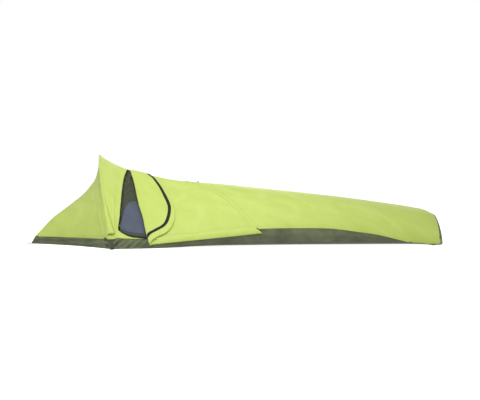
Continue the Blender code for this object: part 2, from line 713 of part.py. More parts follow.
def zip_band_way(rise):
    """Where the zip tape's inner edge lies on the flap, from its slant and its width."""
    step = 2 * STEP_SHARE
    lower = max(rise - step, 0)
    edge = skin(NEAR, flap_station(1, rise), rise)
    slant = skin(NEAR, flap_station(1, lower + step), lower + step) - skin(
        NEAR, flap_station(1, lower), lower)
    run = skin(NEAR, flap_station(1, rise) + STEP_SHARE, rise) - edge
    cosine = abs(slant @ run) / np.linalg.norm(slant) / np.linalg.norm(run)
    width = ZIP_BAND * straight_table(ZIP_BAND_SHARES, rise) / math.sqrt(1 - cosine**2)
    full = np.linalg.norm(edge - skin(NEAR, flap_station(0, rise), rise))
    return max(1 - width / full, ZIP_LEAST_SHARE)


def build_flap():
    """The front of the door, folded back over the rest of it, with its zip tape and strip."""
    rows = len(RISE_SHARES)
    ways = FLAP_WAY_SHARES

    def on_flap(i, j):
        return flap_station(ways[i], panel_rise(j)), panel_rise(j)

    def flap_off(i, j):
        return flap_lift(ways[i], panel_rise(j))
    flap = skin_sheet("door_flap", NEAR, len(ways), rows, on_flap, flap_off, CLOTH, LIME)

    def band_way(i, j):
        return mix(zip_band_way(panel_rise(j)), 1, i / 2)

    def on_band(i, j):
        return flap_station(band_way(i, j), panel_rise(j)), panel_rise(j)

    def band_off(i, j):
        way = max(band_way(i, j), FLAP_WAY_SHARES[1])
        return flap_lift(way, panel_rise(j)) + CLOTH + LAYER_GAP
    band = skin_sheet("flap_zip_tape", NEAR, 3, rows, on_band, band_off, TAPE, BLACK)

    last = len(STRIP_EDGE_SHARES) - 1
    columns = 3 * last + 1

    def strip_ends(k):
        rise = panel_rise(k)
        root = (straight_table(FLAP_EDGE_SHARES, rise) + share_gap(STRIP_SEAM_GAP), rise)
        return np.array(root), np.array(STRIP_EDGE_SHARES[k])

    def on_strip(i, j):
        k = min(i // 3, last - 1)
        root, edge = strip_ends(k)
        next_root, next_edge = strip_ends(k + 1)
        way = i / 3 - k
        return mix(mix(edge, next_edge, way), mix(root, next_root, way), j / 3)

    def strip_off(i, j):
        away = mix(1, STRIP_ROOT_SHARE, j / 3) * (1 - i / (columns - 1))
        return flap_lift(1, 0) + STRIP_STANDOFF * away
    strip = skin_sheet("flap_storm_strip", NEAR, columns, 4, on_strip, strip_off, CLOTH, LIME)
    return flap, band, strip


def build_door_trim():
    """The rear storm flap, which covers the rear zip, and the hem over the bottom zip."""
    def on_storm(i, j):
        rise = panel_rise(j)
        edge = smooth_table(DOOR_REAR_SHARES, RISE_SHARES[j])
        return edge + share_gap(mix(-STORM_FLAP_FRONT, STORM_FLAP_REAR, i / 2)), rise
    storm = skin_sheet("rear_storm_flap", NEAR, 3, len(RISE_SHARES), on_storm,
                       lambda i, j: CLOTH + LAYER_GAP, CLOTH, LIME)

    ways = HEM_WAY_SHARES

    def on_hem(i, j):
        share = HEM_ROW_SHARES[j]
        front_share = straight_table(HEM_FRONT_EDGE_SHARES, share)
        front_u = mix(share_gap(HEM_FRONT_RUN), HEM_TOP_FRONT_SHARE, front_share)
        rear_u = mix(share_gap(HEM_REAR_RUN), HEM_TOP_REAR_SHARE, share)
        top_u = mix(HEM_TOP_FRONT_SHARE, HEM_TOP_REAR_SHARE, ways[i])
        top = skin(NEAR, top_u, HEM_TOP_RISE_SHARE)[2]
        low = mix(HEM_FRONT_HEIGHT, HEM_REAR_HEIGHT, ways[i])
        lift = mix(HEM_STANDOFF, CLOTH + LAYER_GAP, share**2)
        return wall_place(NEAR, mix(front_u, rear_u, ways[i]), mix(low, top, share), lift)
    hem = grid_sheet("door_hem", len(ways), len(HEM_ROW_SHARES), on_hem, HEM_CLOTH, LIME)
    return storm, hem


def zip_line(share):
    """The bottom zip's middle line, straight from its front end to its rear end."""
    ends = []
    for run, drop in ((ZIP_FRONT_RUN, ZIP_FRONT_DROP), (ZIP_REAR_RUN, ZIP_REAR_DROP)):
        u = share_gap(run)
        ends.append(wall_place(NEAR, u, Section(u).seam - drop, CLOTH + 2 * LAYER_GAP))
    return mix(ends[0], ends[1], share)


def build_bottom_zip():
    """The tape of the bottom zip, sewn flat on the tub wall and hidden by the hem."""
    def place(i, j):
        point = zip_line(i)
        point[2] += mix(-1, 1, j) * BOTTOM_TAPE_WIDTH / 2
        return point
    grid_sheet("bottom_zip_tape", 2, 2, place, TAPE, BLACK)


def screen_span(rise):
    """The screen's front and rear stations, inside the doorway's edges."""
    edge = straight_table(OPENING_EDGE_SHARES, max(rise, DOORWAY_CORNER_SHARE))
    front = edge + share_gap(SCREEN_SIDE_GAP)
    rear = smooth_table(DOOR_REAR_SHARES, rise) - share_gap(SCREEN_REAR_GAP)
    return front, rear


def screen_setback(rise):
    """The screen hangs from the canopy at its top and stands well inside it at its foot."""
    return mix(SCREEN_SETBACK, TAPE + SCREEN_TOP_GAP, (rise / SCREEN_TOP_SHARE)**5)


def build_screen():
    """The inner door: net above, a plain panel below, with a border and a zip along its foot."""
    ways = SCREEN_WAY_SHARES

    def split_rise(way):
        return straight_table(SCREEN_SPLIT_SHARES, way)

    def make(name, low, high, rows, thickness, look):
        def on_screen(i, j):
            rise = mix(low(ways[i]), high(ways[i]), j / (rows - 1))
            front, rear = screen_span(rise)
            return mix(front, rear, ways[i]), rise

        def inward(i, j):
            return -screen_setback(on_screen(i, j)[1])
        return skin_sheet(name, NEAR, len(ways), rows, on_screen, inward, thickness, look)

    def step(share):
        return lambda way: share

    def foot_edge(number, more=0):
        """A seam near the foot, which curves up at the doorway's corner."""
        return lambda way: foot[number] + more + straight_table(SCREEN_FOOT_LIFT_SHARES, way)
    gap = SCREEN_SEAM_SHARE
    foot = SCREEN_FOOT_SHARES
    tape = make("screen_zip_tape", foot_edge(0), foot_edge(1), 2, TAPE, BLACK)
    border = make("screen_border", foot_edge(1, gap), foot_edge(2), 2, CLOTH, OLIVE)
    solid = make("screen_panel", foot_edge(2, gap), split_rise, 5, CLOTH, SLATE)

    def above_split(way):
        return split_rise(way) + SPLIT_SEAM_SHARE
    net = make("screen_mesh", above_split, step(SCREEN_TOP_SHARE), 7, TAPE, NET)
    return tape, border, solid, net


def block(name, size, place, heading, outward, look):
    """A small bevelled block: heading is along its length, outward through its depth."""
    mesh = bpy.data.meshes.new(name)
    cube = bmesh.new()
    bmesh.ops.create_cube(cube, size=1)
    bmesh.ops.scale(cube, vec=size, verts=cube.verts)
    cube.to_mesh(mesh)
    cube.free()
    item = bpy.data.objects.new(name, mesh)
    tent.objects.link(item)
    turn_to(item, place, heading, outward)
    edge = item.modifiers.new("rounding", "BEVEL")
    edge.width = size[2] / 4
    edge.segments = 2
    mesh.materials.append(finish_material(name, look))
    return item


def turn_to(item, place, heading, outward):
    """Put an item at a place with its X along heading and its Z along outward."""
    x = Vector(heading).normalized()
    y = Vector(outward).cross(x).normalized()
    z = x.cross(y)
    item.matrix_world = Matrix.Translation(Vector(place)) @ Matrix((x, y, z)).transposed().to_4x4()


def ring_points(half_length, half_width, count):
    """A long round ended outline, about its own middle."""
    run = half_length - half_width
    points = []
    for k in range(count):
        turn = 2 * math.pi * k / count
        end = run if math.cos(turn) > 0 else -run
        points.append((end + half_width * math.cos(turn), half_width * math.sin(turn)))
    return points


def plate(name, outlines, thickness, place, heading, outward, look):
    """A flat plate from closed outlines; the first is the rim and the others are holes."""
    curve = bpy.data.curves.new(name, "CURVE")
    curve.dimensions = "2D"
    curve.fill_mode = "BOTH"
    curve.extrude = thickness / 2
    for outline in outlines:
        spline = curve.splines.new("POLY")
        spline.points.add(len(outline) - 1)
        for point, (x, y) in zip(spline.points, outline):
            point.co = (x, y, 0, 1)
        spline.use_cyclic_u = True
    item = bpy.data.objects.new(name, curve)
    tent.objects.link(item)
    turn_to(item, place, heading, outward)
    curve.materials.append(finish_material(name, look))
    return item


def moved(outline, x, y=0):
    return [(px + x, py + y) for px, py in outline]


def build_slider(word, place, heading, outward, down):
    """A zip slider lying on its tape, and the pull that hangs from it."""
    out = Vector(outward).normalized()
    middle = Vector(place) + out * (GAP + SLIDER_DEPTH / 2)
    size = (SLIDER_LENGTH, SLIDER_WIDTH, SLIDER_DEPTH)
    slider = block(word + "_slider", size, middle, heading, outward, DARK_METAL)
    rim = ring_points(PULL_LENGTH / 2, PULL_WIDTH / 2, 16)
    hole = ring_points(PULL_HOLE_LENGTH / 2, PULL_HOLE_WIDTH / 2, 10)
    hang_from = middle + out * (SLIDER_DEPTH / 2 + GAP + PULL_THICKNESS * PULL_CLEAR_SHARE)
    top = PULL_THICKNESS / 2
    outlines = (moved(rim, PULL_LENGTH / 2 - top), moved(hole, PULL_WIDTH / 2 - top))
    pull = plate(word + "_pull", outlines, PULL_THICKNESS, hang_from, down, outward, DARK_METAL)
    hang(pull, slider)
    return slider, pull


def pole_foot(side):
    """The pole's lower end and its heading there, up the leg."""
    low = hoop_point(side, tub_rise(0, TUB_ROW_SHARES[1]))
    next_up = hoop_point(side, tub_rise(0, TUB_ROW_SHARES[2]))
    return low, (next_up - low) / np.linalg.norm(next_up - low)


def build_pole_tips():
    for side, word in ((NEAR, "near"), (FAR, "far")):
        foot, heading = pole_foot(side)
        mesh = bpy.data.meshes.new("pole_tip_" + word)
        tip = bmesh.new()
        bmesh.ops.create_cone(tip, cap_ends=True, segments=12, radius1=POLE_RADIUS * TIP_TAPER_SHARE,
                              radius2=POLE_RADIUS, depth=TIP_LENGTH)
        tip.to_mesh(mesh)
        tip.free()
        mesh.shade_smooth()
        mesh.set_sharp_from_angle(angle=math.radians(SHARP_DEGREES))
        item = bpy.data.objects.new("pole_tip_" + word, mesh)
        tent.objects.link(item)
        item.location = foot - heading * (TIP_LENGTH / 2 + GAP + POLE_RADIUS * TIP_CLEAR_SHARE)
        item.rotation_mode = "QUATERNION"
        item.rotation_quaternion = Vector(heading).to_track_quat("Z", "Y")
        mesh.materials.append(finish_material("pole_tip_" + word, BLACK))


def wall_place(side, u, height, lift):
    """A place on the skin at one height, standing off the cloth by lift."""
    section = Section(u)
    angle = math.asin(min(1, (height - section.lift) / (section.top - section.lift)))
    rise = (angle - section.seam_angle) / (math.pi / 2 - section.seam_angle)
    return lifted(side, u, rise, lift)


def patch_point(side, offset, height, lift):
    """A place beside the hoop's line, by its distance behind that line."""
    u = share_gap(offset) if offset > 0 else offset / HOOP_SETBACK
    return wall_place(side, u, height, lift)


def build_pockets():
    """Patches that hold the pole's feet, and the sleeve's tabs over them."""
    bulge = CLOTH + 2 * GAP + 2 * POLE_RADIUS + LAYER_GAP
    flat = CLOTH + LAYER_GAP
    lifts = [flat, flat, mix(flat, bulge, POCKET_SLOPE_SHARE), bulge, bulge, bulge,
             mix(flat, bulge, POCKET_SLOPE_SHARE), flat, flat]
    for side, word in ((NEAR, "near"), (FAR, "far")):
        def on_pocket(i, j):
            offset = POCKET_HALF_WIDTH * POCKET_COLUMN_SHARES[i]
            height = mix(POCKET_LOW, POCKET_HIGH, j / 3)
            return patch_point(side, offset, height, lifts[i])
        grid_sheet("pole_pocket_" + word, len(lifts), 4, on_pocket, CLOTH, OLIVE, outward=-side)

        def on_tab(i, j):
            offset = POCKET_HALF_WIDTH * TAB_COLUMN_SHARES[i]
            return patch_point(side, offset, mix(TAB_LOW, TAB_HIGH, j), lifts[i])
        grid_sheet("sleeve_tab_" + word, len(TAB_COLUMN_SHARES), 2, on_tab, CLOTH, LIME, outward=-side)


def build_loops():
    """Webbing peg loops, lying flat on the ground."""
    def loop(name, place, heading, length):
        radius = LOOP_WIDTH / 4
        corner = [(length - radius + radius * math.sin(math.pi / 2 * k / 4),
                   LOOP_WIDTH / 2 - radius + radius * math.cos(math.pi / 2 * k / 4)) for k in range(5)]
        rim = corner + [(x, -y) for x, y in reversed(corner)] + [
            (0, -LOOP_WIDTH / 2), (0, LOOP_WIDTH / 2)]
        slot = moved(ring_points(LOOP_SLOT_LENGTH / 2, LOOP_SLOT_WIDTH / 2, 16),
                     length - LOOP_END - LOOP_SLOT_LENGTH / 2)
        spot = (place[0], place[1], WEBBING / 2)
        plate(name, (rim, slot), WEBBING, spot, heading, (0, 0, 1), OLIVE)
    start = 3 * GAP
    loop("bow_peg_loop", (BOW_X - start, 0), (-1, 0, 0), BOW_LOOP_REACH - start)
    for side, word in ((NEAR, "near"), (FAR, "far")):
        wall = HOOP_HALF_WIDTH + CLOTH + 2 * GAP
        loop("hoop_peg_loop_" + word, (BODY_START_X, side * wall), (0, side, 0), LOOP_LENGTH)
        wall = Section(FOOT_LOOP_SHARE).half + 2 * GAP
        loop("foot_peg_loop_" + word, (Section(FOOT_LOOP_SHARE).base_x, side * wall), (0, side, 0),
             LOOP_LENGTH)


def build_ridge_loop():
    """A small loop of tape on the ridge, behind the top of the door."""
    top = skin(NEAR, RIDGE_LOOP_SHARE, 1)
    base = np.array((top[0], 0, top[2] + CLOTH + LAYER_GAP + GAP))
    count = 9

    def place(i, j):
        turn = math.pi * j / (count - 1)
        across = np.array((0, -math.cos(turn), math.sin(turn))) * RIDGE_LOOP_RADIUS
        return base + across + np.array((mix(-1, 1, i) * RIDGE_LOOP_WIDTH / 2, 0, 0))
    grid_sheet("ridge_loop", 2, count, place, TAPE, OLIVE)


def build_foot_stay():
    """The light wand that holds the foot end up, in a small pocket at each end."""
    count = 25
    points = []
    for k in range(count):
        share = k / (count - 1) * 2 - 1
        side = NEAR if share < 0 else FAR
        rise = mix(STAY_LOW_SHARE, STAY_TOP_SHARE, 1 - abs(share)**STAY_BEND_SHARE)
        points.append(lifted(side, STAY_SHARE, rise, -STAY_INSET))
    curve = bpy.data.curves.new("foot_stay", "CURVE")
    curve.dimensions = "3D"
    curve.bevel_depth = STAY_RADIUS
    curve.bevel_resolution = 2
    curve.use_fill_caps = True
    spline = curve.splines.new("POLY")
    spline.points.add(count - 1)
    for item, point in zip(spline.points, points):
        item.co = (*point, 1)
    stay = bpy.data.objects.new("foot_stay", curve)
    tent.objects.link(stay)
    curve.materials.append(finish_material("foot_stay", DARK_METAL))


def build_stay_pockets():
    """Small patches inside the foot corners, which hold the stay's ends."""
    flat = -CLOTH - 2 * LAYER_GAP
    bulge = -CLOTH - STAY_INSET - STAY_RADIUS - 2 * LAYER_GAP
    lifts = (flat, bulge, bulge, bulge, flat)

    def on_patch(i, j):
        return STAY_POCKET_SHARES[i], mix(*STAY_POCKET_RISE_SHARES, j / 3)
    for side, word in ((NEAR, "near"), (FAR, "far")):
        skin_sheet("stay_pocket_" + word, side, len(lifts), 4, on_patch,
                   lambda i, j: lifts[i], CLOTH, OLIVE)


def ridge_point(u):
    point = skin(NEAR, u, 1)
    point[1] = 0
    return point


def pivot(name, place, axis, parent=None):
    """An empty on a joint's axis, with its Z along that axis."""
    empty = bpy.data.objects.new(name, None)
    tent.objects.link(empty)
    turn = Vector(axis).to_track_quat("Z", "Y").to_matrix().to_4x4()
    empty.matrix_world = Matrix.Translation(Vector(place)) @ turn
    if parent:
        hang(empty, parent)
    return empty


def hang(item, carrier):
    """Parent an item, made in place, to what carries it."""
    bpy.context.view_layer.update()
    item.parent = carrier
    item.matrix_parent_inverse = carrier.matrix_world.inverted()


def screen_line(share):
    """The line that the screen's slider runs on, over the middle of its tape."""
    rise = (SCREEN_FOOT_SHARES[0] + SCREEN_FOOT_SHARES[1]) / 2
    front, rear = screen_span(rise)
    standoff = TAPE + SCREEN_RUNNING_GAP - screen_setback(rise)
    ends = [lifted(NEAR, mix(front, rear, way), rise, standoff) for way in SCREEN_SLIDE_SHARES]
    return mix(ends[0], ends[1], share)


def screen_outward(along):
    """Square to the screen's tape: out of the line and of the tape's slope at its front."""
    rise = SCREEN_FOOT_SHARES[0]
    station = screen_span(rise)[0]
    slope = skin(NEAR, station, SCREEN_FOOT_SHARES[1]) - skin(NEAR, station, rise)
    outward = np.cross(along, slope)
    return outward / np.linalg.norm(outward)


def build_moving():
    """Everything that opens, each group parented to an empty on its hinge."""
    front = ridge_point(DOOR_HINGE_FRONT_SHARE)
    rear = ridge_point(DOOR_HINGE_REAR_SHARE)
    door_hinge = pivot("door_hinge", rear + np.array((0, 0, DOOR_HINGE_RISE)), front - rear)
    screen_rear = rear + np.array((0, -SCREEN_HINGE_INSET, -SCREEN_HINGE_DROP))
    screen_hinge = pivot("screen_hinge", screen_rear, front - rear)

    fold_top = lifted(NEAR, smooth_table(FOLD_SHARES, 1), 1, CLOTH + FLAP_GAP / 2)
    fold_foot = lifted(NEAR, smooth_table(FOLD_SHARES, 0), 0, CLOTH + FLAP_GAP / 2)
    flap_hinge = pivot("flap_hinge", fold_foot, fold_foot - fold_top, door_hinge)
    hem_front = lifted(NEAR, HEM_TOP_FRONT_SHARE, HEM_TOP_RISE_SHARE, CLOTH + FLAP_GAP)
    hem_rear = lifted(NEAR, HEM_TOP_REAR_SHARE, HEM_TOP_RISE_SHARE, CLOTH + FLAP_GAP)
    above = np.array((0, 0, HEM_HINGE_RISE))
    hem_hinge = pivot("hem_hinge", hem_rear + above, hem_front - hem_rear, door_hinge)

    for item in build_flap():
        hang(item, flap_hinge)
    storm, hem = build_door_trim()
    hang(bpy.data.objects["door_panel"], door_hinge)
    hang(storm, door_hinge)
    hang(hem, hem_hinge)
    for item in build_screen():
        hang(item, screen_hinge)

    outward = np.array((0, -1, 0))
    down = (0, 0, -1)
    along = zip_line(1) - zip_line(0)
    spot = zip_line(DOOR_SLIDER_SHARE) + outward * TAPE
    build_slider("door", spot, along, outward, down)
    along = screen_line(1) - screen_line(0)
    outward = screen_outward(along)
    slider, _ = build_slider("screen", screen_line(0), along, outward, np.cross(along, outward))
    hang(slider, screen_hinge)


clear_scene()
tent = new_collection("bivvy_tent")

build_groundsheet()
build_tub_walls()
build_canopy()
build_foot()
build_hoop()
build_sleeve()
build_pole_tips()
build_pockets()
build_loops()
build_ridge_loop()
build_foot_stay()
build_stay_pockets()
build_doorway_tapes()
build_bottom_zip()
build_moving()
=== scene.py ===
# %% [markdown]
# # A hooped bivvy tent
# The real object is a one person shelter. A single hoop pole holds up a thin lime
# canopy, an olive tub floor keeps out the wet, and one corner of the side door is
# folded back, which shows the insect screen inside. The solid pieces come from the
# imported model. This script sews finer cloth over them and gives every piece its
# finish.
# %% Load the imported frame
import math
from functools import partial

import bmesh
import bpy
import numpy as np
from mathutils import Matrix, Vector, noise


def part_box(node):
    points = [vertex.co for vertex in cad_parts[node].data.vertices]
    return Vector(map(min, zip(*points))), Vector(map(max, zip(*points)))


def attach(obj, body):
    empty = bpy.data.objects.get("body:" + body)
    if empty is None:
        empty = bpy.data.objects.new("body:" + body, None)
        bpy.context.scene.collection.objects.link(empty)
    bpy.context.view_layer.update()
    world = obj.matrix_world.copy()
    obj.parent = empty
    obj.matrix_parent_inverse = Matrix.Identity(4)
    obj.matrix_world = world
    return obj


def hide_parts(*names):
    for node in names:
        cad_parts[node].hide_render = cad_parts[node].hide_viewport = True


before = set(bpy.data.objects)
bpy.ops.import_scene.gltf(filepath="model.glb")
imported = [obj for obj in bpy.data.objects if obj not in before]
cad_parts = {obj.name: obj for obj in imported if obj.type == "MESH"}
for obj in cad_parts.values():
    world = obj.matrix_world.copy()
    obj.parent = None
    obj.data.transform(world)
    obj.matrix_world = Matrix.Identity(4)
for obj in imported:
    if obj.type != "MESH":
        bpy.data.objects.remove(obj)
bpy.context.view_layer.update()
bpy.ops.object.select_all(action="DESELECT")
MM = 0.001

# %% [markdown]
# ## The camera
# The photograph is taken from beside the tent with a long lens, a little above the
# cloth, and it is turned a few degrees towards the foot. The camera stands six metres
# away, so the body tapers away only slightly.
# %% Camera
CAMERA_PLACE = (-0.2875, -5.993, 0.600)
CAMERA_TILT = 87.265
CAMERA_TURN = -3.0
CAMERA_LENS = 61.2
CAMERA_SENSOR = 36

camera_data = bpy.data.cameras.new("camera")
camera_data.lens = CAMERA_LENS
camera_data.sensor_width = CAMERA_SENSOR
camera = bpy.data.objects.new("camera", camera_data)
camera.location = CAMERA_PLACE
camera.rotation_euler = (math.radians(CAMERA_TILT), 0, math.radians(CAMERA_TURN))
bpy.context.scene.collection.objects.link(camera)
bpy.context.scene.camera = camera

# %% [markdown]
# ## The tent's form, as a set of sections
# A pitched tent is a skin stretched over a hoop, so its form is best held as cross
# sections along its length. These tables repeat the ones that the solid model was
# lofted from. Every cloth piece below is then cut from this one skin, and
# neighbours meet without a gap.
# %% Section tables
TENT_LENGTH = 3.045
BOW_LOOP_REACH = 0.025
BOW_X = -TENT_LENGTH / 2 + BOW_LOOP_REACH
HOOP_SETBACK = 0.63
FOOT_CROWN = 0.07
BODY_START_X = BOW_X + HOOP_SETBACK
BODY_END_X = TENT_LENGTH / 2 - FOOT_CROWN
BODY_RUN = BODY_END_X - BODY_START_X
PEAK_HEIGHT = 0.638
PEAK_LEAN = 0.126
PEAK_X = BODY_START_X - PEAK_LEAN
FOOT_LEAN = 0.009
FOOT_TOP_X = BODY_END_X + FOOT_LEAN
HOOP_HALF_WIDTH = 0.42
FOOT_HALF_WIDTH = 0.25
FOOT_HEIGHT = 0.208
STEM_LEAN = 0.036
STEM_TOP_X = BOW_X + STEM_LEAN
STEM_HEIGHT = 0.060
STEM_HALF_WIDTH = 0.003
FLOOR_EDGE_LIFT = 0.026
FOOT_BULGE = 0.008
WALL_TUCK = 0.050
GAP = 0.3 * MM
CLOTH = 1.2 * MM
TAPE = 1.0 * MM
LAYER_GAP = 0.6 * MM
STEP = 0.004
NEAR = -1
FAR = 1
SIDES = ((NEAR, "near"), (FAR, "far"))
REAR_RIDGE = (
    (0, 1), (0.012, 0.955), (0.035, 0.88), (0.073, 0.78), (0.12, 0.715), (0.165, 0.645),
    (0.21, 0.595), (0.27, 0.558), (0.36, 0.517), (0.48, 0.447), (0.6, 0.372), (0.72, 0.292),
    (0.84, 0.198), (0.94, 0.112), (0.975, 0.07), (0.99, 0.03), (1, 0))
BOW_RIDGE = (
    (0, 1), (0.025, 0.85), (0.065, 0.732), (0.13, 0.642), (0.25, 0.53), (0.44, 0.403),
    (0.63, 0.287), (0.75, 0.212), (0.87, 0.11), (1, 0))
HOOP_SEAM = 0.115
REAR_SEAM = (
    (0, HOOP_SEAM), (0.05, 0.104), (0.1, 0.1), (0.16, 0.107), (0.3, 0.156), (0.436, 0.204),
    (0.56, 0.210), (0.68, 0.194), (0.74, 0.163), (0.8, 0.130), (0.865, 0.072), (0.915, 0.024),
    (0.93, 0.010), (1, 0.006))
STEM_SEAM = 0.936
BOW_SEAM = ((0, 0), (0.25, 0.35), (1, 1))
FLOOR_LIFT = (
    (0, 0), (0.15, 0.12), (0.24, 0.42), (0.3, 0.69), (0.43, 0.98), (0.56, 0.98), (0.69, 1),
    (0.79, 0.96), (0.88, 0.68), (0.945, 0.3), (0.965, 0.06), (0.98, 0), (1, 0))
POINT_POWER = (
    (-1, 1.1), (-0.25, 1.1), (-0.065, 1.2), (0, 1.45), (0.06, 1.35), (0.15, 1.2), (0.5, 1.1),
    (1, 1))
DOOR_FLATNESS = (
    (-1, 0), (0, 0), (0.05, 0.5), (0.095, 0.9), (0.2, 0.75), (0.35, 0.35), (0.5, 0.1), (0.7, 0),
    (1, 0))
OPENING_EDGE = (
    (0, 0.1), (0.005, 0.088), (0.0087, 0.0682), (0.0205, 0.0532), (0.0402, 0.0392),
    (0.06, 0.0295), (0.07, 0.0280), (0.09, 0.0295), (0.185, 0.0388), (0.332, 0.0492),
    (0.519, 0.0602), (0.8, 0.0752), (1, 0.0815))
FOLD_LINE = (
    (0, 0.1076), (0.05, 0.1076), (0.105, 0.1062), (0.186, 0.1052), (0.318, 0.0992),
    (0.361, 0.0982), (0.556, 0.0955), (0.8625, 0.0895), (1, 0.0885))
DOOR_REAR = (
    (0, 0.436), (0.125, 0.416), (0.278, 0.398), (0.543, 0.354), (0.886, 0.283), (1, 0.262))
FLAP_EDGE = (
    (0, 0.109), (0.012, 0.1105), (0.042, 0.121), (0.073, 0.1415), (0.109, 0.163), (0.134, 0.172),
    (0.174, 0.180), (0.215, 0.186), (0.267, 0.191), (0.331, 0.194), (0.39, 0.1923), (0.457, 0.188),
    (0.533, 0.1827), (0.627, 0.1755), (0.73, 0.1665), (0.836, 0.158), (0.917, 0.1495), (1, 0.146))


def straight(table, share):
    """Reads a table of pairs along straight lines."""
    xs, ys = zip(*table)
    return float(np.interp(share, xs, ys))


def smooth(table, share):
    """Reads a table of pairs along a smooth curve through them."""
    if share <= table[0][0]:
        return table[0][1]
    if share >= table[-1][0]:
        return table[-1][1]
    last = len(table) - 1
    steps = [x1 - x0 for (x0, _), (x1, _) in zip(table, table[1:])]
    rates = [(b[1] - a[1]) / step for a, b, step in zip(table, table[1:], steps)]

    def slope(i):
        if i in (0, last):
            return rates[min(i, last - 1)]
        return (rates[i - 1] * steps[i] + rates[i] * steps[i - 1]) / (steps[i - 1] + steps[i])

    i = next(k for k in range(last) if share <= table[k + 1][0])
    t = (share - table[i][0]) / steps[i]
    return ((2 * t**3 - 3 * t**2 + 1) * table[i][1] + (t**3 - 2 * t**2 + t) * slope(i) * steps[i]
            + (3 * t**2 - 2 * t**3) * table[i + 1][1] + (t**3 - t**2) * slope(i + 1) * steps[i])


def mix(a, b, share):
    return a + (b - a) * share


def unit(vector):
    return vector / max(np.linalg.norm(vector), 1e-12)


# %% The skin
class Section:
    """The cross section at one station: 0 at the hoop, 1 at the foot, -1 at the bow."""

    def __init__(self, u):
        if u <= 0:
            way = -u
            self.base_x = mix(BODY_START_X, BOW_X, way)
            self.top_x = mix(PEAK_X, STEM_TOP_X, way)
            self.top = mix(STEM_HEIGHT, PEAK_HEIGHT, smooth(BOW_RIDGE, way))
            self.half = HOOP_HALF_WIDTH * (1 - way) * (1 - way / 2) + STEM_HALF_WIDTH * way
            self.seam = mix(
                PEAK_HEIGHT * HOOP_SEAM, STEM_HEIGHT * STEM_SEAM, smooth(BOW_SEAM, way))
            self.lift = 0
            self.tuck = 0
        else:
            self.base_x = mix(BODY_START_X, BODY_END_X, u)
            self.top_x = mix(PEAK_X, FOOT_TOP_X, u)
            self.top = mix(FOOT_HEIGHT, PEAK_HEIGHT, smooth(REAR_RIDGE, u))
            self.half = mix(HOOP_HALF_WIDTH, FOOT_HALF_WIDTH, u)
            self.lift = FLOOR_EDGE_LIFT * smooth(FLOOR_LIFT, u)
            self.tuck = WALL_TUCK * math.sin(math.pi * u)**2
            self.seam = max(PEAK_HEIGHT * smooth(REAR_SEAM, u), self.lift + 2 * CLOTH)
        self.power = straight(POINT_POWER, u)
        self.flatness = straight(DOOR_FLATNESS, u)
        self.seam_angle = math.asin(min(1, (self.seam - self.lift) / (self.top - self.lift)))

    def point(self, side, angle):
        height = mix(self.lift, self.top, math.sin(angle))
        reach = self.half * max(math.cos(angle), 0)**self.power
        if height < self.seam:
            reach -= self.tuck * (1 - (height - self.lift) / (self.seam - self.lift))**2
        elif side == NEAR:
            seam_reach = self.half * math.cos(self.seam_angle)**self.power
            chord = seam_reach * (self.top - height) / (self.top - self.seam)
            reach = mix(reach, chord, self.flatness)
        along = mix(self.base_x, self.top_x, (height - self.lift) / (self.top - self.lift))
        return np.array((along, side * (reach + GAP / 2), height))


SECTIONS = {}


def section_at(u):
    key = round(u, 6)
    if key not in SECTIONS:
        SECTIONS[key] = Section(u)
    return SECTIONS[key]


def skin(side, u, rise):
    """A point of the skin. rise is 0 at the tub seam, 1 at the ridge, below 0 on the tub."""
    section = section_at(u)
    angle = mix(section.seam_angle, math.pi / 2, rise)
    return section.point(side, max(angle, 0))


def tub_rise(u, share):
    """The rise value at a share of the tub wall's height."""
    section = section_at(u)
    return (share - 1) * section.seam_angle / (math.pi / 2 - section.seam_angle)


def height_rise(u, height):
    """The rise value at a height above the ground."""
    section = section_at(u)
    angle = math.asin(min(1, (height - section.lift) / (section.top - section.lift)))
    return (angle - section.seam_angle) / (math.pi / 2 - section.seam_angle)


def skin_normal(side, u, rise):
    along = skin(side, min(u + STEP, 1), rise) - skin(side, max(u - STEP, -1), rise)
    up = skin(side, u, min(rise + 0.02, 1)) - skin(side, u, min(rise + 0.02, 1) - 0.04)
    return unit(np.cross(along, up) * -side)


def lifted(side, u, rise, lift):
    return skin(side, u, rise) + skin_normal(side, u, rise) * lift


def share_gap(distance):
    """A small distance along the body, as a station share."""
    return distance / BODY_RUN


def opening_edge(rise):
    """The station of the doorway's front edge, and below its corner of the sill."""
    return straight(OPENING_EDGE, rise)


# %% [markdown]
# ## Finishes
# Each finish is a small node tree on the Principled shader. Cloth lets some light
# through, so a translucent share is mixed in. Weave and creases are drawn on the
# cloth's own map, whose units are metres, so that they lie along the threads.
# %% Node helpers
def linear(hexcode):
    """An sRGB hex colour as linear red, green, blue and alpha."""
    values = [int(hexcode[i:i + 2], 16) / 255 for i in (1, 3, 5)]
    return (*[v / 12.92 if v <= 0.04045 else ((v + 0.055) / 1.055)**2.4 for v in values], 1)


def add_node(tree, kind, inputs=None, **settings):
    """Adds a node with its properties, fills or links its sockets, and gives its outputs."""
    made = tree.nodes.new("ShaderNode" + kind)
    for name, value in settings.items():
        setattr(made, name, value)
    for name, value in (inputs or {}).items():
        if isinstance(value, bpy.types.NodeSocket):
            tree.links.new(value, made.inputs[name])
        else:
            made.inputs[name].default_value = value
    return made.outputs


def new_finish(name):
    material = bpy.data.materials.new(name)
    material.use_nodes = True
    material.node_tree.nodes.clear()
    return material, material.node_tree


# %% Woven cloth
WAVE_PERIOD = 0.3142  # a wave pattern at scale 1 comes back after this length
UNEVEN_DYE = 0.9


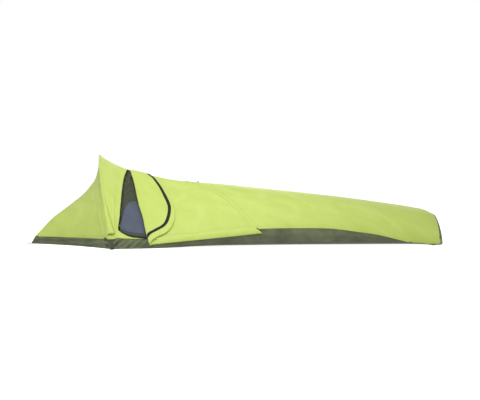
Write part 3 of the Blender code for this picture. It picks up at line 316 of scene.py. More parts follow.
def woven_cloth(name, colour, shade, roughness, sheen, translucent, crease, thread=3.0):
    """Tightly woven, coated cloth. thread is in mm, coarser than the real one to show."""
    material, tree = new_finish(name)
    uv = add_node(tree, "UVMap", uv_map="cloth")["UV"]
    warp, weft = (
        add_node(tree, "TexWave", {"Scale": WAVE_PERIOD / (thread * MM), "Distortion": 0.4,
                                   "Detail": 1.0, "Vector": uv}, bands_direction=way)["Fac"]
        for way in ("X", "Y"))
    weave = add_node(tree, "Math", {0: warp, 1: weft}, operation="MULTIPLY")["Value"]
    soft = add_node(tree, "TexNoise", {"Scale": 7.0, "Detail": 5.0, "Roughness": 0.55,
                                       "Distortion": 0.6, "Vector": uv})["Fac"]
    crumple = add_node(tree, "TexNoise", {"Scale": 38.0, "Detail": 4.0, "Roughness": 0.6,
                                          "Distortion": 1.2, "Vector": uv})["Fac"]
    spread = add_node(tree, "MapRange", {"From Min": 0.3, "From Max": 0.7, "To Min": 0.0,
                                         "To Max": UNEVEN_DYE, "Value": soft})["Result"]
    tint = add_node(tree, "Mix", {"A": linear(colour), "B": linear(shade), "Factor": spread},
                    data_type="RGBA")["Result"]
    folds = add_node(tree, "Bump", {"Strength": 0.55, "Distance": crease * MM,
                                    "Height": crumple})["Normal"]
    threads = add_node(tree, "Bump", {"Strength": 0.35, "Distance": 0.12 * MM, "Height": weave,
                                      "Normal": folds})["Normal"]
    surface = add_node(tree, "BsdfPrincipled", {
        "Roughness": roughness, "Sheen Weight": sheen, "Sheen Roughness": 0.5,
        "Specular IOR Level": 0.35, "Base Color": tint, "Normal": threads})["BSDF"]
    if translucent:
        through = add_node(tree, "BsdfTranslucent", {"Color": tint, "Normal": threads})["BSDF"]
        surface = add_node(tree, "MixShader", {"Fac": translucent, 1: surface,
                                               2: through})["Shader"]
    add_node(tree, "OutputMaterial", {"Surface": surface})
    return material


# Silicone coated nylon, woven so tightly that it looks smooth, with a low soft sheen
lime_nylon = woven_cloth("lime_coated_nylon", "#D3E47C", "#C7DA6A", 0.62, 0.17, 0.22, 1.2)
# The same nylon seen from its uncoated inner side, a little stronger in colour
lime_inner = woven_cloth("lime_nylon_inner_face", "#CBDC72", "#C2D464", 0.66, 0.10, 0.15, 1.4)
# Thicker polyurethane coated floor cloth, dull and easily creased
olive_floor_cloth = woven_cloth("olive_floor_nylon", "#69714F", "#454C38", 0.58, 0.12, 0.0, 2.6,
                                thread=3.5)
# The same floor cloth, duller and darker. On the screen's border the darker colour is painted
# shade, for the shadow where the border sits back in the doorway; on the pole pockets it gives a
# darker patch
darker_olive_and_painted_shade = woven_cloth("dark_olive_nylon_and_painted_shade", "#454A37", "#3A3F2E", 0.70, 0.05, 0.0, 1.0,
                           thread=3.5)
# Brushed polyester of the screen's lower panel
slate_polyester = woven_cloth("slate_polyester", "#525A6A", "#474E5D", 0.78, 0.15, 0.0, 1.6)
# Woven polyester tape that carries a zip
zip_tape_weave = woven_cloth("black_zip_tape", "#121410", "#0D0F0B", 0.8, 0.02, 0.0, 0.4,
                             thread=2.0)


# %% [markdown]
# Knitted net is mostly holes. Single threads are finer than one point of the
# picture, so the weave is drawn coarse, as a grid of lines with clear cells, and
# the cells stay clear enough to show the lit canopy behind.
# %% Net
def knitted_net(name, colour, pitch, cover):
    """pitch is in mm, and cover is how much of a clear cell the finer threads hide."""
    material, tree = new_finish(name)
    uv = add_node(tree, "UVMap", uv_map="cloth")["UV"]
    down, over = (
        add_node(tree, "TexWave", {"Scale": WAVE_PERIOD / (pitch * MM), "Distortion": 0.0,
                                   "Detail": 0.0, "Vector": uv}, bands_direction=way)["Fac"]
        for way in ("X", "Y"))
    joined = add_node(tree, "Math", {0: down, 1: over}, operation="MAXIMUM")["Value"]
    solid = add_node(tree, "MapRange", {"From Min": 0.55, "From Max": 0.8, "To Min": cover,
                                        "To Max": 1.0, "Value": joined})["Result"]
    surface = add_node(tree, "BsdfPrincipled", {"Base Color": linear(colour), "Roughness": 0.8,
                                                "Sheen Weight": 0.2, "Alpha": solid})["BSDF"]
    add_node(tree, "OutputMaterial", {"Surface": surface})
    return material


insect_net = knitted_net("dark_insect_net", "#3E4433", 5.0, 0.30)


# %% Metals and plastic
def hard_finish(name, colour, worn, roughness, metallic, grain, depth):
    """A finish on object coordinates, with marks as large as grain and as deep as depth, in mm."""
    material, tree = new_finish(name)
    place = add_node(tree, "TexCoord")["Object"]
    marks = add_node(tree, "TexNoise", {"Scale": 1 / (grain * MM), "Detail": 4.0,
                                        "Roughness": 0.6, "Vector": place})["Fac"]
    dull = add_node(tree, "MapRange", {"To Min": roughness - 0.08, "To Max": roughness + 0.12,
                                       "Value": marks})["Result"]
    bump = add_node(tree, "Bump", {"Strength": 0.3, "Distance": depth * MM,
                                   "Height": marks})["Normal"]
    tint = add_node(tree, "Mix", {"A": linear(colour), "B": linear(worn), "Factor": marks},
                    data_type="RGBA")["Result"]
    surface = add_node(tree, "BsdfPrincipled", {"Metallic": metallic, "Base Color": tint,
                                                "Roughness": dull, "Normal": bump})["BSDF"]
    add_node(tree, "OutputMaterial", {"Surface": surface})
    return material


# Drawn aluminium tube, anodised, with fine marks along it
anodised_pole = hard_finish("anodised_aluminium", "#3E4144", "#4C4F53", 0.45, 1.0, 4.0, 0.05)
# Zinc die casting with a dark plated finish, as on zip sliders
dark_zinc = hard_finish("dark_plated_zinc", "#3A3B3C", "#4A4B4D", 0.38, 1.0, 1.5, 0.04)
# Moulded acetal of the pole's tips
black_acetal = hard_finish("black_acetal", "#17181A", "#222326", 0.45, 0.0, 1.0, 0.03)
# Polyester sewing thread, twisted from two plies, in three colours
lime_thread = hard_finish("lime_sewing_thread", "#BFD26C", "#AEC158", 0.6, 0.0, 0.5, 0.1)
olive_thread = hard_finish("olive_sewing_thread", "#565E42", "#474D35", 0.6, 0.0, 0.5, 0.1)
black_thread = hard_finish("black_sewing_thread", "#26281F", "#1B1D16", 0.6, 0.0, 0.5, 0.1)
# Polypropylene webbing, coarse and matt, with a rib of about a millimetre
olive_webbing = hard_finish("olive_polypropylene_webbing", "#3E442E", "#4C5338", 0.78, 0.0, 1.1,
                            0.25)
# Nylon monofilament, wound and pressed into the coil of a zip
coil_nylon = hard_finish("black_nylon_coil", "#0E0F0D", "#161714", 0.40, 0.0, 1.2, 0.03)
# Pultruded glass fibre rod, pale grey with a faint grain
fibre_rod = hard_finish("glass_fibre_rod", "#8C8F8A", "#7C7F78", 0.42, 0.0, 2.0, 0.05)


# %% [markdown]
# ## Cutting cloth from the skin
# A sheet of cloth is a fine grid laid through a function of two shares, with its
# thickness added by Solidify. Creases are added square to the cloth, and they fade
# out at every sewn edge, because the seam holds it there.
# %% Cloth grid
WELD = 0.05 * MM
FINER_SHARE = 0.4
FINER_SCALE = 2.3
SLOTS = {
    lime_nylon: "lime_cloth", lime_inner: "lime_cloth", olive_floor_cloth: "olive_cloth",
    darker_olive_and_painted_shade: "olive_cloth", slate_polyester: "slate_cloth", zip_tape_weave: "zip_tape",
    insect_net: "net"}
CUTS = {}


def run_lengths(points, axis):
    """How far every point of a grid lies along its own row, in metres."""
    steps = np.linalg.norm(np.diff(points, axis=axis), axis=2)
    return np.insert(np.cumsum(steps, axis=axis), 0, 0, axis=axis)


def grid_area(points):
    """The area of a grid of points, in square metres."""
    a = points[1:, :-1] - points[:-1, :-1]
    b = points[:-1, 1:] - points[:-1, :-1]
    c = points[1:, :-1] - points[1:, 1:]
    d = points[:-1, 1:] - points[1:, 1:]
    halves = np.linalg.norm(np.cross(a, b), axis=2) + np.linalg.norm(np.cross(c, d), axis=2)
    return halves.sum() / 2


def add_piece(name, mesh, finish):
    piece = bpy.data.objects.new(name, mesh)
    bpy.context.scene.collection.objects.link(piece)
    mesh.materials.clear()
    mesh.materials.append(finish)
    return piece


def declare(piece, slot, body, *nodes):
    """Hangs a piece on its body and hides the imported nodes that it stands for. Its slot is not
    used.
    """
    if nodes:
        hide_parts(*nodes)
    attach(piece, body)


def finish_modifier(piece, kind, **settings):
    item = piece.modifiers.new(kind.lower(), kind)
    for name, value in settings.items():
        setattr(item, name, value)
    bpy.context.view_layer.objects.active = piece
    bpy.ops.object.modifier_apply(modifier=item.name)


def cloth_sheet(name, columns, rows, place, finish, *nodes, body="shell", thickness=0.8 * MM,
                crease=None, facing=1, tube=False, held="stretched", rests_on="hoop_sleeve"):
    """place(a, b) gives a point for two shares, crease(a, b, s, t) a height in metres."""
    shares = [[(i / (columns - 1), j / (rows - 1)) for j in range(rows)] for i in range(columns)]
    points = np.array([[place(a, b) for a, b in line] for line in shares])
    across, upward = run_lengths(points, 0), run_lengths(points, 1)
    if crease:
        square = np.cross(np.gradient(points, axis=0), np.gradient(points, axis=1)) * facing
        square /= np.maximum(np.linalg.norm(square, axis=2, keepdims=True), 1e-9)
        heights = np.array([[crease(*shares[i][j], across[i, j], upward[i, j])
                             for j in range(rows)] for i in range(columns)])
        points = points + square * heights[:, :, None]
    corners = [i * rows + j for i in range(columns - 1) for j in range(rows - 1)]
    faces = [(k, k + rows, k + rows + 1, k + 1)[::facing] for k in corners]
    mesh = bpy.data.meshes.new(name)
    mesh.from_pydata([tuple(p) for p in points.reshape(-1, 3)], [], faces)
    loops = np.array([loop.vertex_index for loop in mesh.loops])
    uv = np.stack([across.reshape(-1)[loops], upward.reshape(-1)[loops]], axis=1)
    layer = mesh.uv_layers.new(name="cloth")
    layer.data.foreach_set("uv", uv.astype(np.float32).reshape(-1))
    if tube:
        joined = bmesh.new()
        joined.from_mesh(mesh)
        bmesh.ops.remove_doubles(joined, verts=joined.verts, dist=WELD)
        joined.to_mesh(mesh)
        joined.free()
    sheet = add_piece(name, mesh, finish)
    finish_modifier(sheet, "SOLIDIFY", thickness=thickness, offset=-1 if tube else 1)
    sheet.data.shade_smooth()
    slot = SLOTS[finish]
    declare(sheet, slot, body, *nodes)
    width, length = float(across[-1].max()), float(upward[:, -1].max())
    area = min(float(grid_area(points)), width * length)
    CUTS[name] = (place, facing, body, slot, 0 if tube else thickness)
    print(name, "is cut", round(width, 3), "by", round(length, 3), "m,", round(area, 4), "m2")


def skin_cloth(name, side, columns, rows, station, lift, finish, *nodes, **more):
    """Cloth on the skin: station(a, b) gives its station and rise."""
    def place(a, b):
        return lifted(side, *station(a, b), lift(a, b) if callable(lift) else lift)
    cloth_sheet(name, columns, rows, place, finish, *nodes, facing=-side, **more)


def edge_fade(a, b, width=0.06):
    """0 on a sheet's sewn edges and 1 well inside it."""
    nearest = min(a, 1 - a, b, 1 - b) / width
    return min(1, nearest)**0.8


def drift(x, y, seed):
    """A value that wanders slowly from place to place, between -1 and 1."""
    return noise.noise(Vector((x, y, seed)))


def soft_creases(seed, size, depth, stretch=(1, 1)):
    """Random soft creases: size in metres along the cloth, depth in metres."""
    def crease(a, b, s, t):
        place = Vector((s / size * stretch[0], t / size * stretch[1], seed))
        finer = FINER_SHARE * noise.noise(place * FINER_SCALE)
        return depth * edge_fade(a, b) * (noise.noise(place) + finer)
    return crease


# %% [markdown]
# ## The canopy
# The canopy is one thin skin, sewn from a few panels and pulled tight from the hoop
# to the bow and the foot. Tight cloth shows long shallow creases that run out from
# where it is pulled, so these are modelled in the mesh, and only the finest crumple
# is left to the material.
# %% Sleeve widths
SLEEVE_INNER = 6.3 * MM
SLEEVE_WALL = 0.8 * MM
SLEEVE_MOUTH_HALF = 26 * MM
SLEEVE_MOUTH_DEPTH = 9 * MM
SLEEVE_MOUTH_SHIFT = 16.0 * MM
SLEEVE_FLARE = 0.45
SLEEVE_SEAM_GAP = 0.6 * MM
SLEEVE_SPAN = 0.06
FARTHEST_EDGE = 0.2
HALVINGS = 18
POLE_RADIUS = 4.25 * MM


def flare(rise):
    return max(0, 1 - rise / SLEEVE_FLARE)**2


def sleeve_half_width(rise):
    return mix(SLEEVE_INNER + SLEEVE_WALL, SLEEVE_MOUTH_HALF, flare(rise))


def sleeve_shift(rise):
    return SLEEVE_MOUTH_SHIFT * flare(rise)


def reach_station(side, rise, direction, distance):
    """The station where the skin is a distance away from the line of the hoop."""
    start = skin(side, 0, rise)
    tangent = unit(skin(side, 0, min(rise + SLEEVE_SPAN, 1)) - skin(side, 0, rise - SLEEVE_SPAN))
    low, high = 0.0, FARTHEST_EDGE
    for _ in range(HALVINGS):
        middle = (low + high) / 2
        away = skin(side, direction * middle, rise) - start
        away = away - tangent * np.dot(away, tangent)
        if np.linalg.norm(away) < distance:
            low = middle
        else:
            high = middle
    return direction * high


RISE_STEPS = np.linspace(0, 1, 41)
SLEEVE_EDGES = {
    (side, way): [
        reach_station(side, rise, way,
                      sleeve_half_width(rise) + way * sleeve_shift(rise) + SLEEVE_SEAM_GAP)
        for rise in RISE_STEPS]
    for side in (NEAR, FAR) for way in (-1, 1)}


def sleeve_edge(side, way, rise):
    """The station where the sleeve's edge lies, ahead of the hoop (-1) or behind it (1)."""
    return float(np.interp(rise, RISE_STEPS, SLEEVE_EDGES[(side, way)]))


LEAST_RISE = 0.004
VALLEY_DEPTH = 7 * MM
VALLEY_WIDTH = 10 * MM
VALLEY_FADE_IN = 0.05
VALLEY_TOP = 0.6


def valley(rise, distance):
    """The canopy dips beside the lower sleeve, where the pole pulls it."""
    fade = min(1, max(0, rise - LEAST_RISE) / VALLEY_FADE_IN) * max(0, 1 - rise / VALLEY_TOP)**0.7
    return -VALLEY_DEPTH * fade * math.exp(-(distance / VALLEY_WIDTH)**2)


# %% Canopy panels
def canopy_rise(b):
    return LEAST_RISE + (1 - LEAST_RISE) * b


FAN_TURNS = 26
FAN_DEPTH = 0.0010
BOW_SWELL = 0.004
PLEAT_PITCH = 0.0068
PLEAT_DEPTH = 0.0022
PLEAT_REACH = 0.10
PLEAT_TOP = 0.75


def bow_crease(a, b, s, t):
    """Creases fan out from the peak, and short pleats gather the cloth at the sleeve."""
    fan = math.sin(FAN_TURNS * (b - 0.25 * a) + 4 * drift(a * 2, b * 3, 3))
    creases = FAN_DEPTH * fan * a**2 + BOW_SWELL * drift(s / 0.16, t / 0.22, 11)
    pleat = math.sin((1 - a) * HOOP_SETBACK / PLEAT_PITCH + 2 * drift(0, b * 4, 5))
    fade = math.exp(-((1 - a) / PLEAT_REACH)**2) * max(0, 1 - b / PLEAT_TOP) * min(1, b / 0.1)
    return edge_fade(a, b, 0.1) * creases + PLEAT_DEPTH * pleat * fade


def on_bow(side, a, b):
    rise = canopy_rise(b)
    return mix(-1, sleeve_edge(side, -1, rise), a**0.8), rise


for side, word in SIDES:
    skin_cloth("bow_panel_cloth_" + word, side, 150, 60, partial(on_bow, side),
               lambda a, b: valley(b, (1 - a) * HOOP_SETBACK), lime_nylon, "bow_panel_" + word,
               crease=bow_crease)


def on_hoop_panel(a, b):
    rise = canopy_rise(b)
    return mix(sleeve_edge(NEAR, 1, rise), opening_edge(b), a), rise


HOOP_PANEL_WIDTH = 0.07
MOUTH_FOLD = ((0.04, 0.021), (0.33, 0.0354), (0.52, 0.041))
FOLD_DEPTH = 4.2 * MM
FOLD_WIDTH = 6 * MM
FOLD_RIDGE = 2.4 * MM
FOLD_RIDGE_WIDTH = 9 * MM
FOLD_RIDGE_AWAY = 15 * MM
panel_creases = soft_creases(5, 0.09, 0.0022, (1, 0.35))


def hoop_panel_crease(a, b, s, t):
    """Besides soft creases, one fold runs up from the corner of the sleeve's mouth."""
    rise = canopy_rise(b)
    away = (on_hoop_panel(a, b)[0] - straight(MOUTH_FOLD, rise)) * BODY_RUN
    fade = max(0, 1 - rise / VALLEY_TOP) * min(1, rise / VALLEY_FADE_IN)
    ridge = FOLD_RIDGE * math.exp(-((away + FOLD_RIDGE_AWAY) / FOLD_RIDGE_WIDTH)**2)
    return panel_creases(a, b, s, t) + fade * (
        ridge - FOLD_DEPTH * math.exp(-(away / FOLD_WIDTH)**2))


skin_cloth("hoop_panel_cloth", NEAR, 56, 90, on_hoop_panel,
           lambda a, b: valley(b, a * HOOP_PANEL_WIDTH), lime_nylon, "hoop_panel",
           crease=hoop_panel_crease)

ZIP_TEETH_HALF = 1.5 * MM


def on_door(a, b):
    end = smooth(DOOR_REAR, b) - share_gap(ZIP_TEETH_HALF)
    return mix(smooth(FOLD_LINE, b), end, a), canopy_rise(b)


def on_rear(a, b):
    return mix(smooth(DOOR_REAR, b) + share_gap(ZIP_TEETH_HALF), 1, a), canopy_rise(b)


def on_far(a, b):
    rise = canopy_rise(b)
    return mix(sleeve_edge(FAR, 1, rise), 1, a**1.15), rise


skin_cloth("door_cloth", NEAR, 90, 60, on_door, 0, lime_nylon, "door_panel", body="door",
           crease=soft_creases(9, 0.2, 0.0016, (0.5, 1)))
skin_cloth("rear_panel_cloth", NEAR, 150, 60, on_rear, 0, lime_nylon, "rear_panel",
           crease=soft_creases(13, 0.26, 0.004, (0.45, 1)))
skin_cloth("far_panel_cloth", FAR, 240, 60, on_far, lambda a, b: valley(b, a**1.15 * BODY_RUN),
           lime_nylon, "far_panel", crease=soft_creases(17, 0.26, 0.004, (0.45, 1)))

# %% [markdown]
# ## The tub
# The tub is the floor cloth turned up at its edges. It isn't stretched, so it sags
# and wrinkles: long diagonal folds near the hoop, where the pole pushes it outwards,
# and softer ones behind. Between the hoop and the foot its lower edge lifts a little
# off the ground.
# %% Tub walls and floor
TUB_END = 0.915
HOOP_PULL_REACH = 0.30
SLANT_DEPTH = 9 * MM
LEVEL_DEPTH = 1.8 * MM
TUB_SWELL = 5 * MM
TUB_SET = 2 * MM
BOW_LEVEL_DEPTH = 5.6 * MM
BOW_TUB_SWELL = 6 * MM
BOW_TUB_SET = 1 * MM


def sewn_window(a, b):
    return min(1, b / 0.2) * min(1, (1 - b) / 0.25) * min(1, a / 0.02) * min(1, (1 - a) / 0.05)


def tub_crease(a, b, s, t):
    """Folds that lean towards the hoop, deepest near it, and long low ones further back."""
    slant = math.sin(s * 115 - t * 150 + 3.0 * drift(s * 8, t * 12, 1))
    slant *= (0.8 + drift(s * 14, t * 20, 4)) * math.exp(-(s / HOOP_PULL_REACH)**2)
    level_fold = math.sin(t * 110 - s * 6 + 4 * drift(s * 3, t * 8, 9))
    slow = drift(s / 0.09, t / 0.05 + s / 0.12, 7)
    return sewn_window(a, b) * (
        SLANT_DEPTH * slant + LEVEL_DEPTH * level_fold + TUB_SWELL * slow - TUB_SET)


def bow_tub_crease(a, b, s, t):
    """Long folds that run level along the bow."""
    level_fold = math.sin(t * 190 + s * 11 + 3.5 * drift(s * 5, t * 16, 21))
    slow = drift(s / 0.11, t / 0.04, 27)
    return sewn_window(a, b) * (
        BOW_LEVEL_DEPTH * level_fold + BOW_TUB_SWELL * slow - BOW_TUB_SET)


def on_tub(a, b):
    u = mix(share_gap(GAP), TUB_END, a)
    return u, tub_rise(u, b)


def place_bow_tub(side, a, b):
    u = -mix(share_gap(GAP), 1, a)
    return lifted(side, u, tub_rise(u, b), 0)


for side, word in SIDES:
    skin_cloth("tub_wall_cloth_" + word, side, 300, 22, on_tub, 0, olive_floor_cloth,
               "tub_wall_" + word, crease=tub_crease)
    cloth_sheet("bow_tub_cloth_" + word, 110, 20, partial(place_bow_tub, side),
                olive_floor_cloth, "tub_bow_wall_" + word, crease=bow_tub_crease, facing=side)

FLOOR_FLAT_SHARE = 0.55
FLOOR_END_RUN = 0.02
FLOOR_BOW_INSET = 0.012


def place_floor(a, b):
    u = mix(-1, 1, a)
    section = section_at(u)
    share = 2 * b - 1
    rise = max(0, abs(share) - FLOOR_FLAT_SHARE) / (1 - FLOOR_FLAT_SHARE)
    half = max(section.half - section.tuck - GAP, GAP)
    bow_way = max(0, (-u - 1 + FLOOR_END_RUN) / FLOOR_END_RUN)
    foot_way = max(0, (u - 1 + FLOOR_END_RUN) / FLOOR_END_RUN)
    along = section.base_x + FLOOR_BOW_INSET * bow_way
    along += (FOOT_CROWN - 2 * CLOTH) * (1 - share**2) * foot_way
    return np.array((along, share * half, section.lift * rise**2))


cloth_sheet("floor_cloth", 160, 60, place_floor, olive_floor_cloth, "groundsheet",
            thickness=1.4 * MM)

FOOT_GROUND_SHARE = 0.9


def place_foot(a, b):
    share = 2 * a - 1
    side = NEAR if share < 0 else FAR
    section = section_at(1)
    rim = section.point(side, (1 - abs(share)) * math.pi / 2)
    reach = share * FOOT_GROUND_SHARE
    crown = (FOOT_CROWN - CLOTH) * (1 - reach**2)
    ground = np.array((BODY_END_X + crown, reach * FOOT_HALF_WIDTH, 0))
    point = mix(rim, ground, b)
    point[0] += GAP + FOOT_BULGE * math.sin(math.pi * b) * (1 - share**2)
    return point


cloth_sheet("foot_panel_cloth", 70, 24, place_foot, olive_floor_cloth, "foot_panel", facing=-1,
            crease=soft_creases(23, 0.07, 0.003))


# %% [markdown]
# ## The hoop and its sleeve
# The pole runs in a cloth tube that flares at both mouths. The tube is lofted along
# the hoop, with more points round it than the solid has.
# %% Sleeve and poles
def hoop_point(side, rise):
    section = section_at(0)
    point = skin(side, 0, rise)
    share = min(1, max(0, (point[2] - section.seam) / section.seam))
    point[1] += side * (CLOTH + GAP + POLE_RADIUS) * (1 - share)**2
    if rise == 1:
        point[1] = 0
    return point


HOOP_AXIS = np.array((PEAK_HEIGHT, 0, PEAK_LEAN)) / math.hypot(PEAK_HEIGHT, PEAK_LEAN)
SLEEVE_FOOT_RISE = 0.03
TOP_RISE = 0.9999


def hoop_place(share, top=1):
    """A point on the hoop and its rise. share runs from -1, near, to 1, far."""
    rise = mix(SLEEVE_FOOT_RISE, 1, 1 - abs(share))
    return hoop_point(NEAR if share < 0 else FAR, min(rise, top)), rise


def hoop_frame(way):
    """A point on the hoop, its rise, and its outward direction. way runs from 0 to 1."""
    share = 2 * way - 1
    point, rise = hoop_place(share, TOP_RISE)
    front, _ = hoop_place(2 * min(way + STEP, 1) - 1)
    back, _ = hoop_place(2 * max(way - STEP, 0) - 1)
    if abs(share) < 1e-6:
        point[1] = 0
    return point, rise, unit(np.cross(HOOP_AXIS, front - back))


def place_sleeve(a, b):
    point, rise, outer = hoop_frame(a)
    turn = 2 * math.pi * (b % 1)
    depth = mix(SLEEVE_INNER + SLEEVE_WALL, SLEEVE_MOUTH_DEPTH, flare(rise))
    offset = HOOP_AXIS * (sleeve_half_width(rise) * math.cos(turn) + sleeve_shift(rise))
    return point + offset + outer * depth * math.sin(turn)


cloth_sheet("sleeve_cloth", 161, 33, place_sleeve, lime_nylon, "hoop_sleeve", tube=True)

# %% CAD pieces that keep their form
KEPT_NODES = {
    anodised_pole: ("pole_leg_near", "pole_leg_far", "pole_crown_near", "pole_crown_far",
                    "pole_ferrule_near", "pole_ferrule_far", "pole_ferrule_crown"),
    black_acetal: ("pole_tip_near", "pole_tip_far"),
    fibre_rod: ("foot_stay",)}
for finish, nodes in KEPT_NODES.items():
    for node in nodes:
        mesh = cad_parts[node].data
        mesh.materials.clear()
        mesh.materials.append(finish)

# %% Backing, bindings and stay pockets
BACKING_DEPTH = 8 * MM
BACKING_RISE = (-0.016, 0.66)
BACKING_SET = 1.0 * MM
BINDING = 10 * MM
BINDING_LIFT = 0.85 * MM
BINDING_STARTS = {NEAR: (0.44, 0.07), FAR: (0.004, 0.015)}
REAR_BINDING_END = 0.9
BOW_BINDING_END = 0.94
FOOT_BINDING_START = 0.9962
FOOT_BINDING_LOW = 0.12
STAY_POCKET = ((0.971, 0), (0.981, 1), (0.985, 1), (0.989, 1), (0.996, 0))
STAY_POCKET_RISE = (0.12, 0.24)
STAY_DIAMETER = 4.2 * MM
STAY_SLACK = 2.5 * MM
STAY_FLAT_LIFT = -CLOTH - 2 * LAYER_GAP
STAY_BULGE_LIFT = STAY_FLAT_LIFT - STAY_DIAMETER - STAY_SLACK


def backing_lift(a, b):
    """Level with the tub's inner face at its foot, and clear of the sleeve's inside above."""
    dip = BACKING_DEPTH * math.sin(math.pi * a)**0.6 * min(1, b / 0.05)
    return valley(mix(*BACKING_RISE, b), 0) - dip - BACKING_SET


def on_backing(side, a, b):
    rise = mix(*BACKING_RISE, b)
    return mix(sleeve_edge(side, -1, rise), sleeve_edge(side, 1, rise), a), rise


def on_foot_binding(a, b):
    return mix(FOOT_BINDING_START, 1, a), mix(FOOT_BINDING_LOW, 1, b)


def place_binding(side, start, end, a, b):
    u = mix(start, end, a)
    height = section_at(u).seam + BINDING * (b - 0.5)
    return lifted(side, u, height_rise(u, height), BINDING_LIFT)


def place_stay_pocket(side, a, b):
    u = mix(STAY_POCKET[0][0], STAY_POCKET[-1][0], a)
    bulge = min(1, max(0, smooth(STAY_POCKET, u)))
    lift = mix(STAY_FLAT_LIFT, STAY_BULGE_LIFT, bulge)
    return lifted(side, u, mix(*STAY_POCKET_RISE, b), lift)


for side, word in SIDES:
    skin_cloth("hoop_backing_cloth_" + word, side, 17, 60, partial(on_backing, side),
               backing_lift, lime_nylon)
for side, word in SIDES:
    rear_start, bow_start = BINDING_STARTS[side]
    cloth_sheet("rear_seam_binding_" + word, 160, 5,
                partial(place_binding, side, rear_start, REAR_BINDING_END), lime_nylon,
                facing=-side, rests_on="tub_wall_cloth_" + word)
    cloth_sheet("bow_seam_binding_" + word, 70, 5,
                partial(place_binding, side, -bow_start, -BOW_BINDING_END), lime_nylon,
                facing=side, rests_on="bow_tub_cloth_" + word)
for side, word in SIDES:
    skin_cloth("foot_binding_" + word, side, 5, 60, on_foot_binding, BINDING_LIFT,
               olive_floor_cloth, rests_on="foot_panel_cloth")
for side, word in SIDES:
    cloth_sheet("stay_pocket_cloth_" + word, 25, 8, partial(place_stay_pocket, side), lime_inner,
                "stay_pocket_" + word, facing=-side)

# %% Pockets and tabs
POCKET_HALF_WIDTH = 42 * MM
POCKET_SHARES = (-1, -0.36, -0.22, -0.12, 0, 0.12, 0.22, 0.36, 1)
FLAT_LIFT = CLOTH + LAYER_GAP
BULGE_LIFT = CLOTH + 2 * GAP + 2 * POLE_RADIUS + LAYER_GAP
POCKET_BULGES = (0, 0, 0.35, 1, 1, 1, 0.35, 0, 0)
POCKET_PROFILE = tuple(
    (share, mix(FLAT_LIFT, BULGE_LIFT, bulge))
    for share, bulge in zip(POCKET_SHARES, POCKET_BULGES))
POCKET_LOW = 5 * MM
POCKET_HIGH = PEAK_HEIGHT * HOOP_SEAM - 6 * MM
TAB_LOW = POCKET_HIGH + LAYER_GAP
TAB_HIGH = POCKET_HIGH + 25 * MM
TAB_CORNER_DROP = 4 * MM
TAB_SHARE = 0.58


def pocket_crease(a, b, s, t):
    return 0.0012 * edge_fade(a, b, 0.1) * math.sin(s / 0.006 + t / 0.02)


def place_patch(side, share, height):
    """A place on the pocket or its tab: share runs from -1 to 1 across the pocket."""
    offset = POCKET_HALF_WIDTH * share
    u = share_gap(offset) if offset > 0 else offset / HOOP_SETBACK
    return lifted(side, u, height_rise(u, height), smooth(POCKET_PROFILE, share))


def place_pocket(side, a, b):
    return place_patch(side, 2 * a - 1, mix(POCKET_LOW, POCKET_HIGH, b))


def place_tab(side, a, b):
    top = TAB_HIGH - TAB_CORNER_DROP * (2 * a - 1)**2
    return place_patch(side, TAB_SHARE * (2 * a - 1), mix(TAB_LOW, top, b))


for side, word in SIDES:
    cloth_sheet("pole_pocket_cloth_" + word, 41, 14, partial(place_pocket, side), darker_olive_and_painted_shade,
                "pole_pocket_" + word, facing=-side, crease=pocket_crease,
                rests_on="tub_wall_cloth_" + word)
    cloth_sheet("sleeve_tab_cloth_" + word, 31, 8, partial(place_tab, side), lime_nylon,
                "sleeve_tab_" + word, facing=-side, rests_on="pole_pocket_cloth_" + word)

# %% [markdown]
# ## The doorway
# The front of the door is folded back and lies on the rest of it, so its inner face
# shows. A wide black zip tape follows its free edge, and a soft storm strip curls
# beyond that. Inside the doorway hangs the screen.
# %% Zip tapes of the doorway
FRONT_TAPE_HALF = 9 * MM
FRONT_TAPE_RISE = (0.12, 1)
REAR_TAPE_HALF = 15 * MM
REAR_TAPE_RISE = (0, 0.94)
UNDER = -(TAPE + 1.4 * MM)


def on_front_tape(a, b):
    rise = mix(*FRONT_TAPE_RISE, b)
    return opening_edge(rise) + (2 * a - 1) * share_gap(FRONT_TAPE_HALF), rise


def on_rear_tape(a, b):
    rise = mix(*REAR_TAPE_RISE, b)
    u = smooth(DOOR_REAR, rise) + (2 * a - 1) * share_gap(REAR_TAPE_HALF)
    return u, max(rise, LEAST_RISE)


for word, station in (("front", on_front_tape), ("rear", on_rear_tape)):
    skin_cloth(word + "_zip_cloth", NEAR, 5, 60, station, UNDER, zip_tape_weave,
               word + "_zip_tape", thickness=TAPE)

SILL_PATH = (
    (0.0290, 0.066), (0.0340, 0.050), (0.0392, 0.0402), (0.0460, 0.0295), (0.0532, 0.0205),
    (0.0606, 0.014), (0.0682, 0.0095), (0.0796, 0.006), (0.0935, 0.005), (0.1076, 0.005))
SILL_BAND = 8 * MM
SILL_BAND_SHARES = (1.2, 2.7)
SILL_SMOOTHING = 0.5


def aside(u, rise, heading, distance):
    """Moves a place on the near skin by a distance square to a heading."""
    low = min(rise, 1 - 2 * STEP)
    along = (skin(NEAR, u + STEP, rise) - skin(NEAR, u, rise)) / STEP
    up = (skin(NEAR, u, low + 2 * STEP) - skin(NEAR, u, low)) / (2 * STEP)
    run = along * heading[0] + up * heading[1]
    target = unit(np.cross(skin_normal(NEAR, u, rise), run)) * distance
    metric = np.array(((along @ along, along @ up), (along @ up, up @ up)))
    du, dr = np.linalg.solve(metric, (along @ target, up @ target))
    return u + du, rise + dr


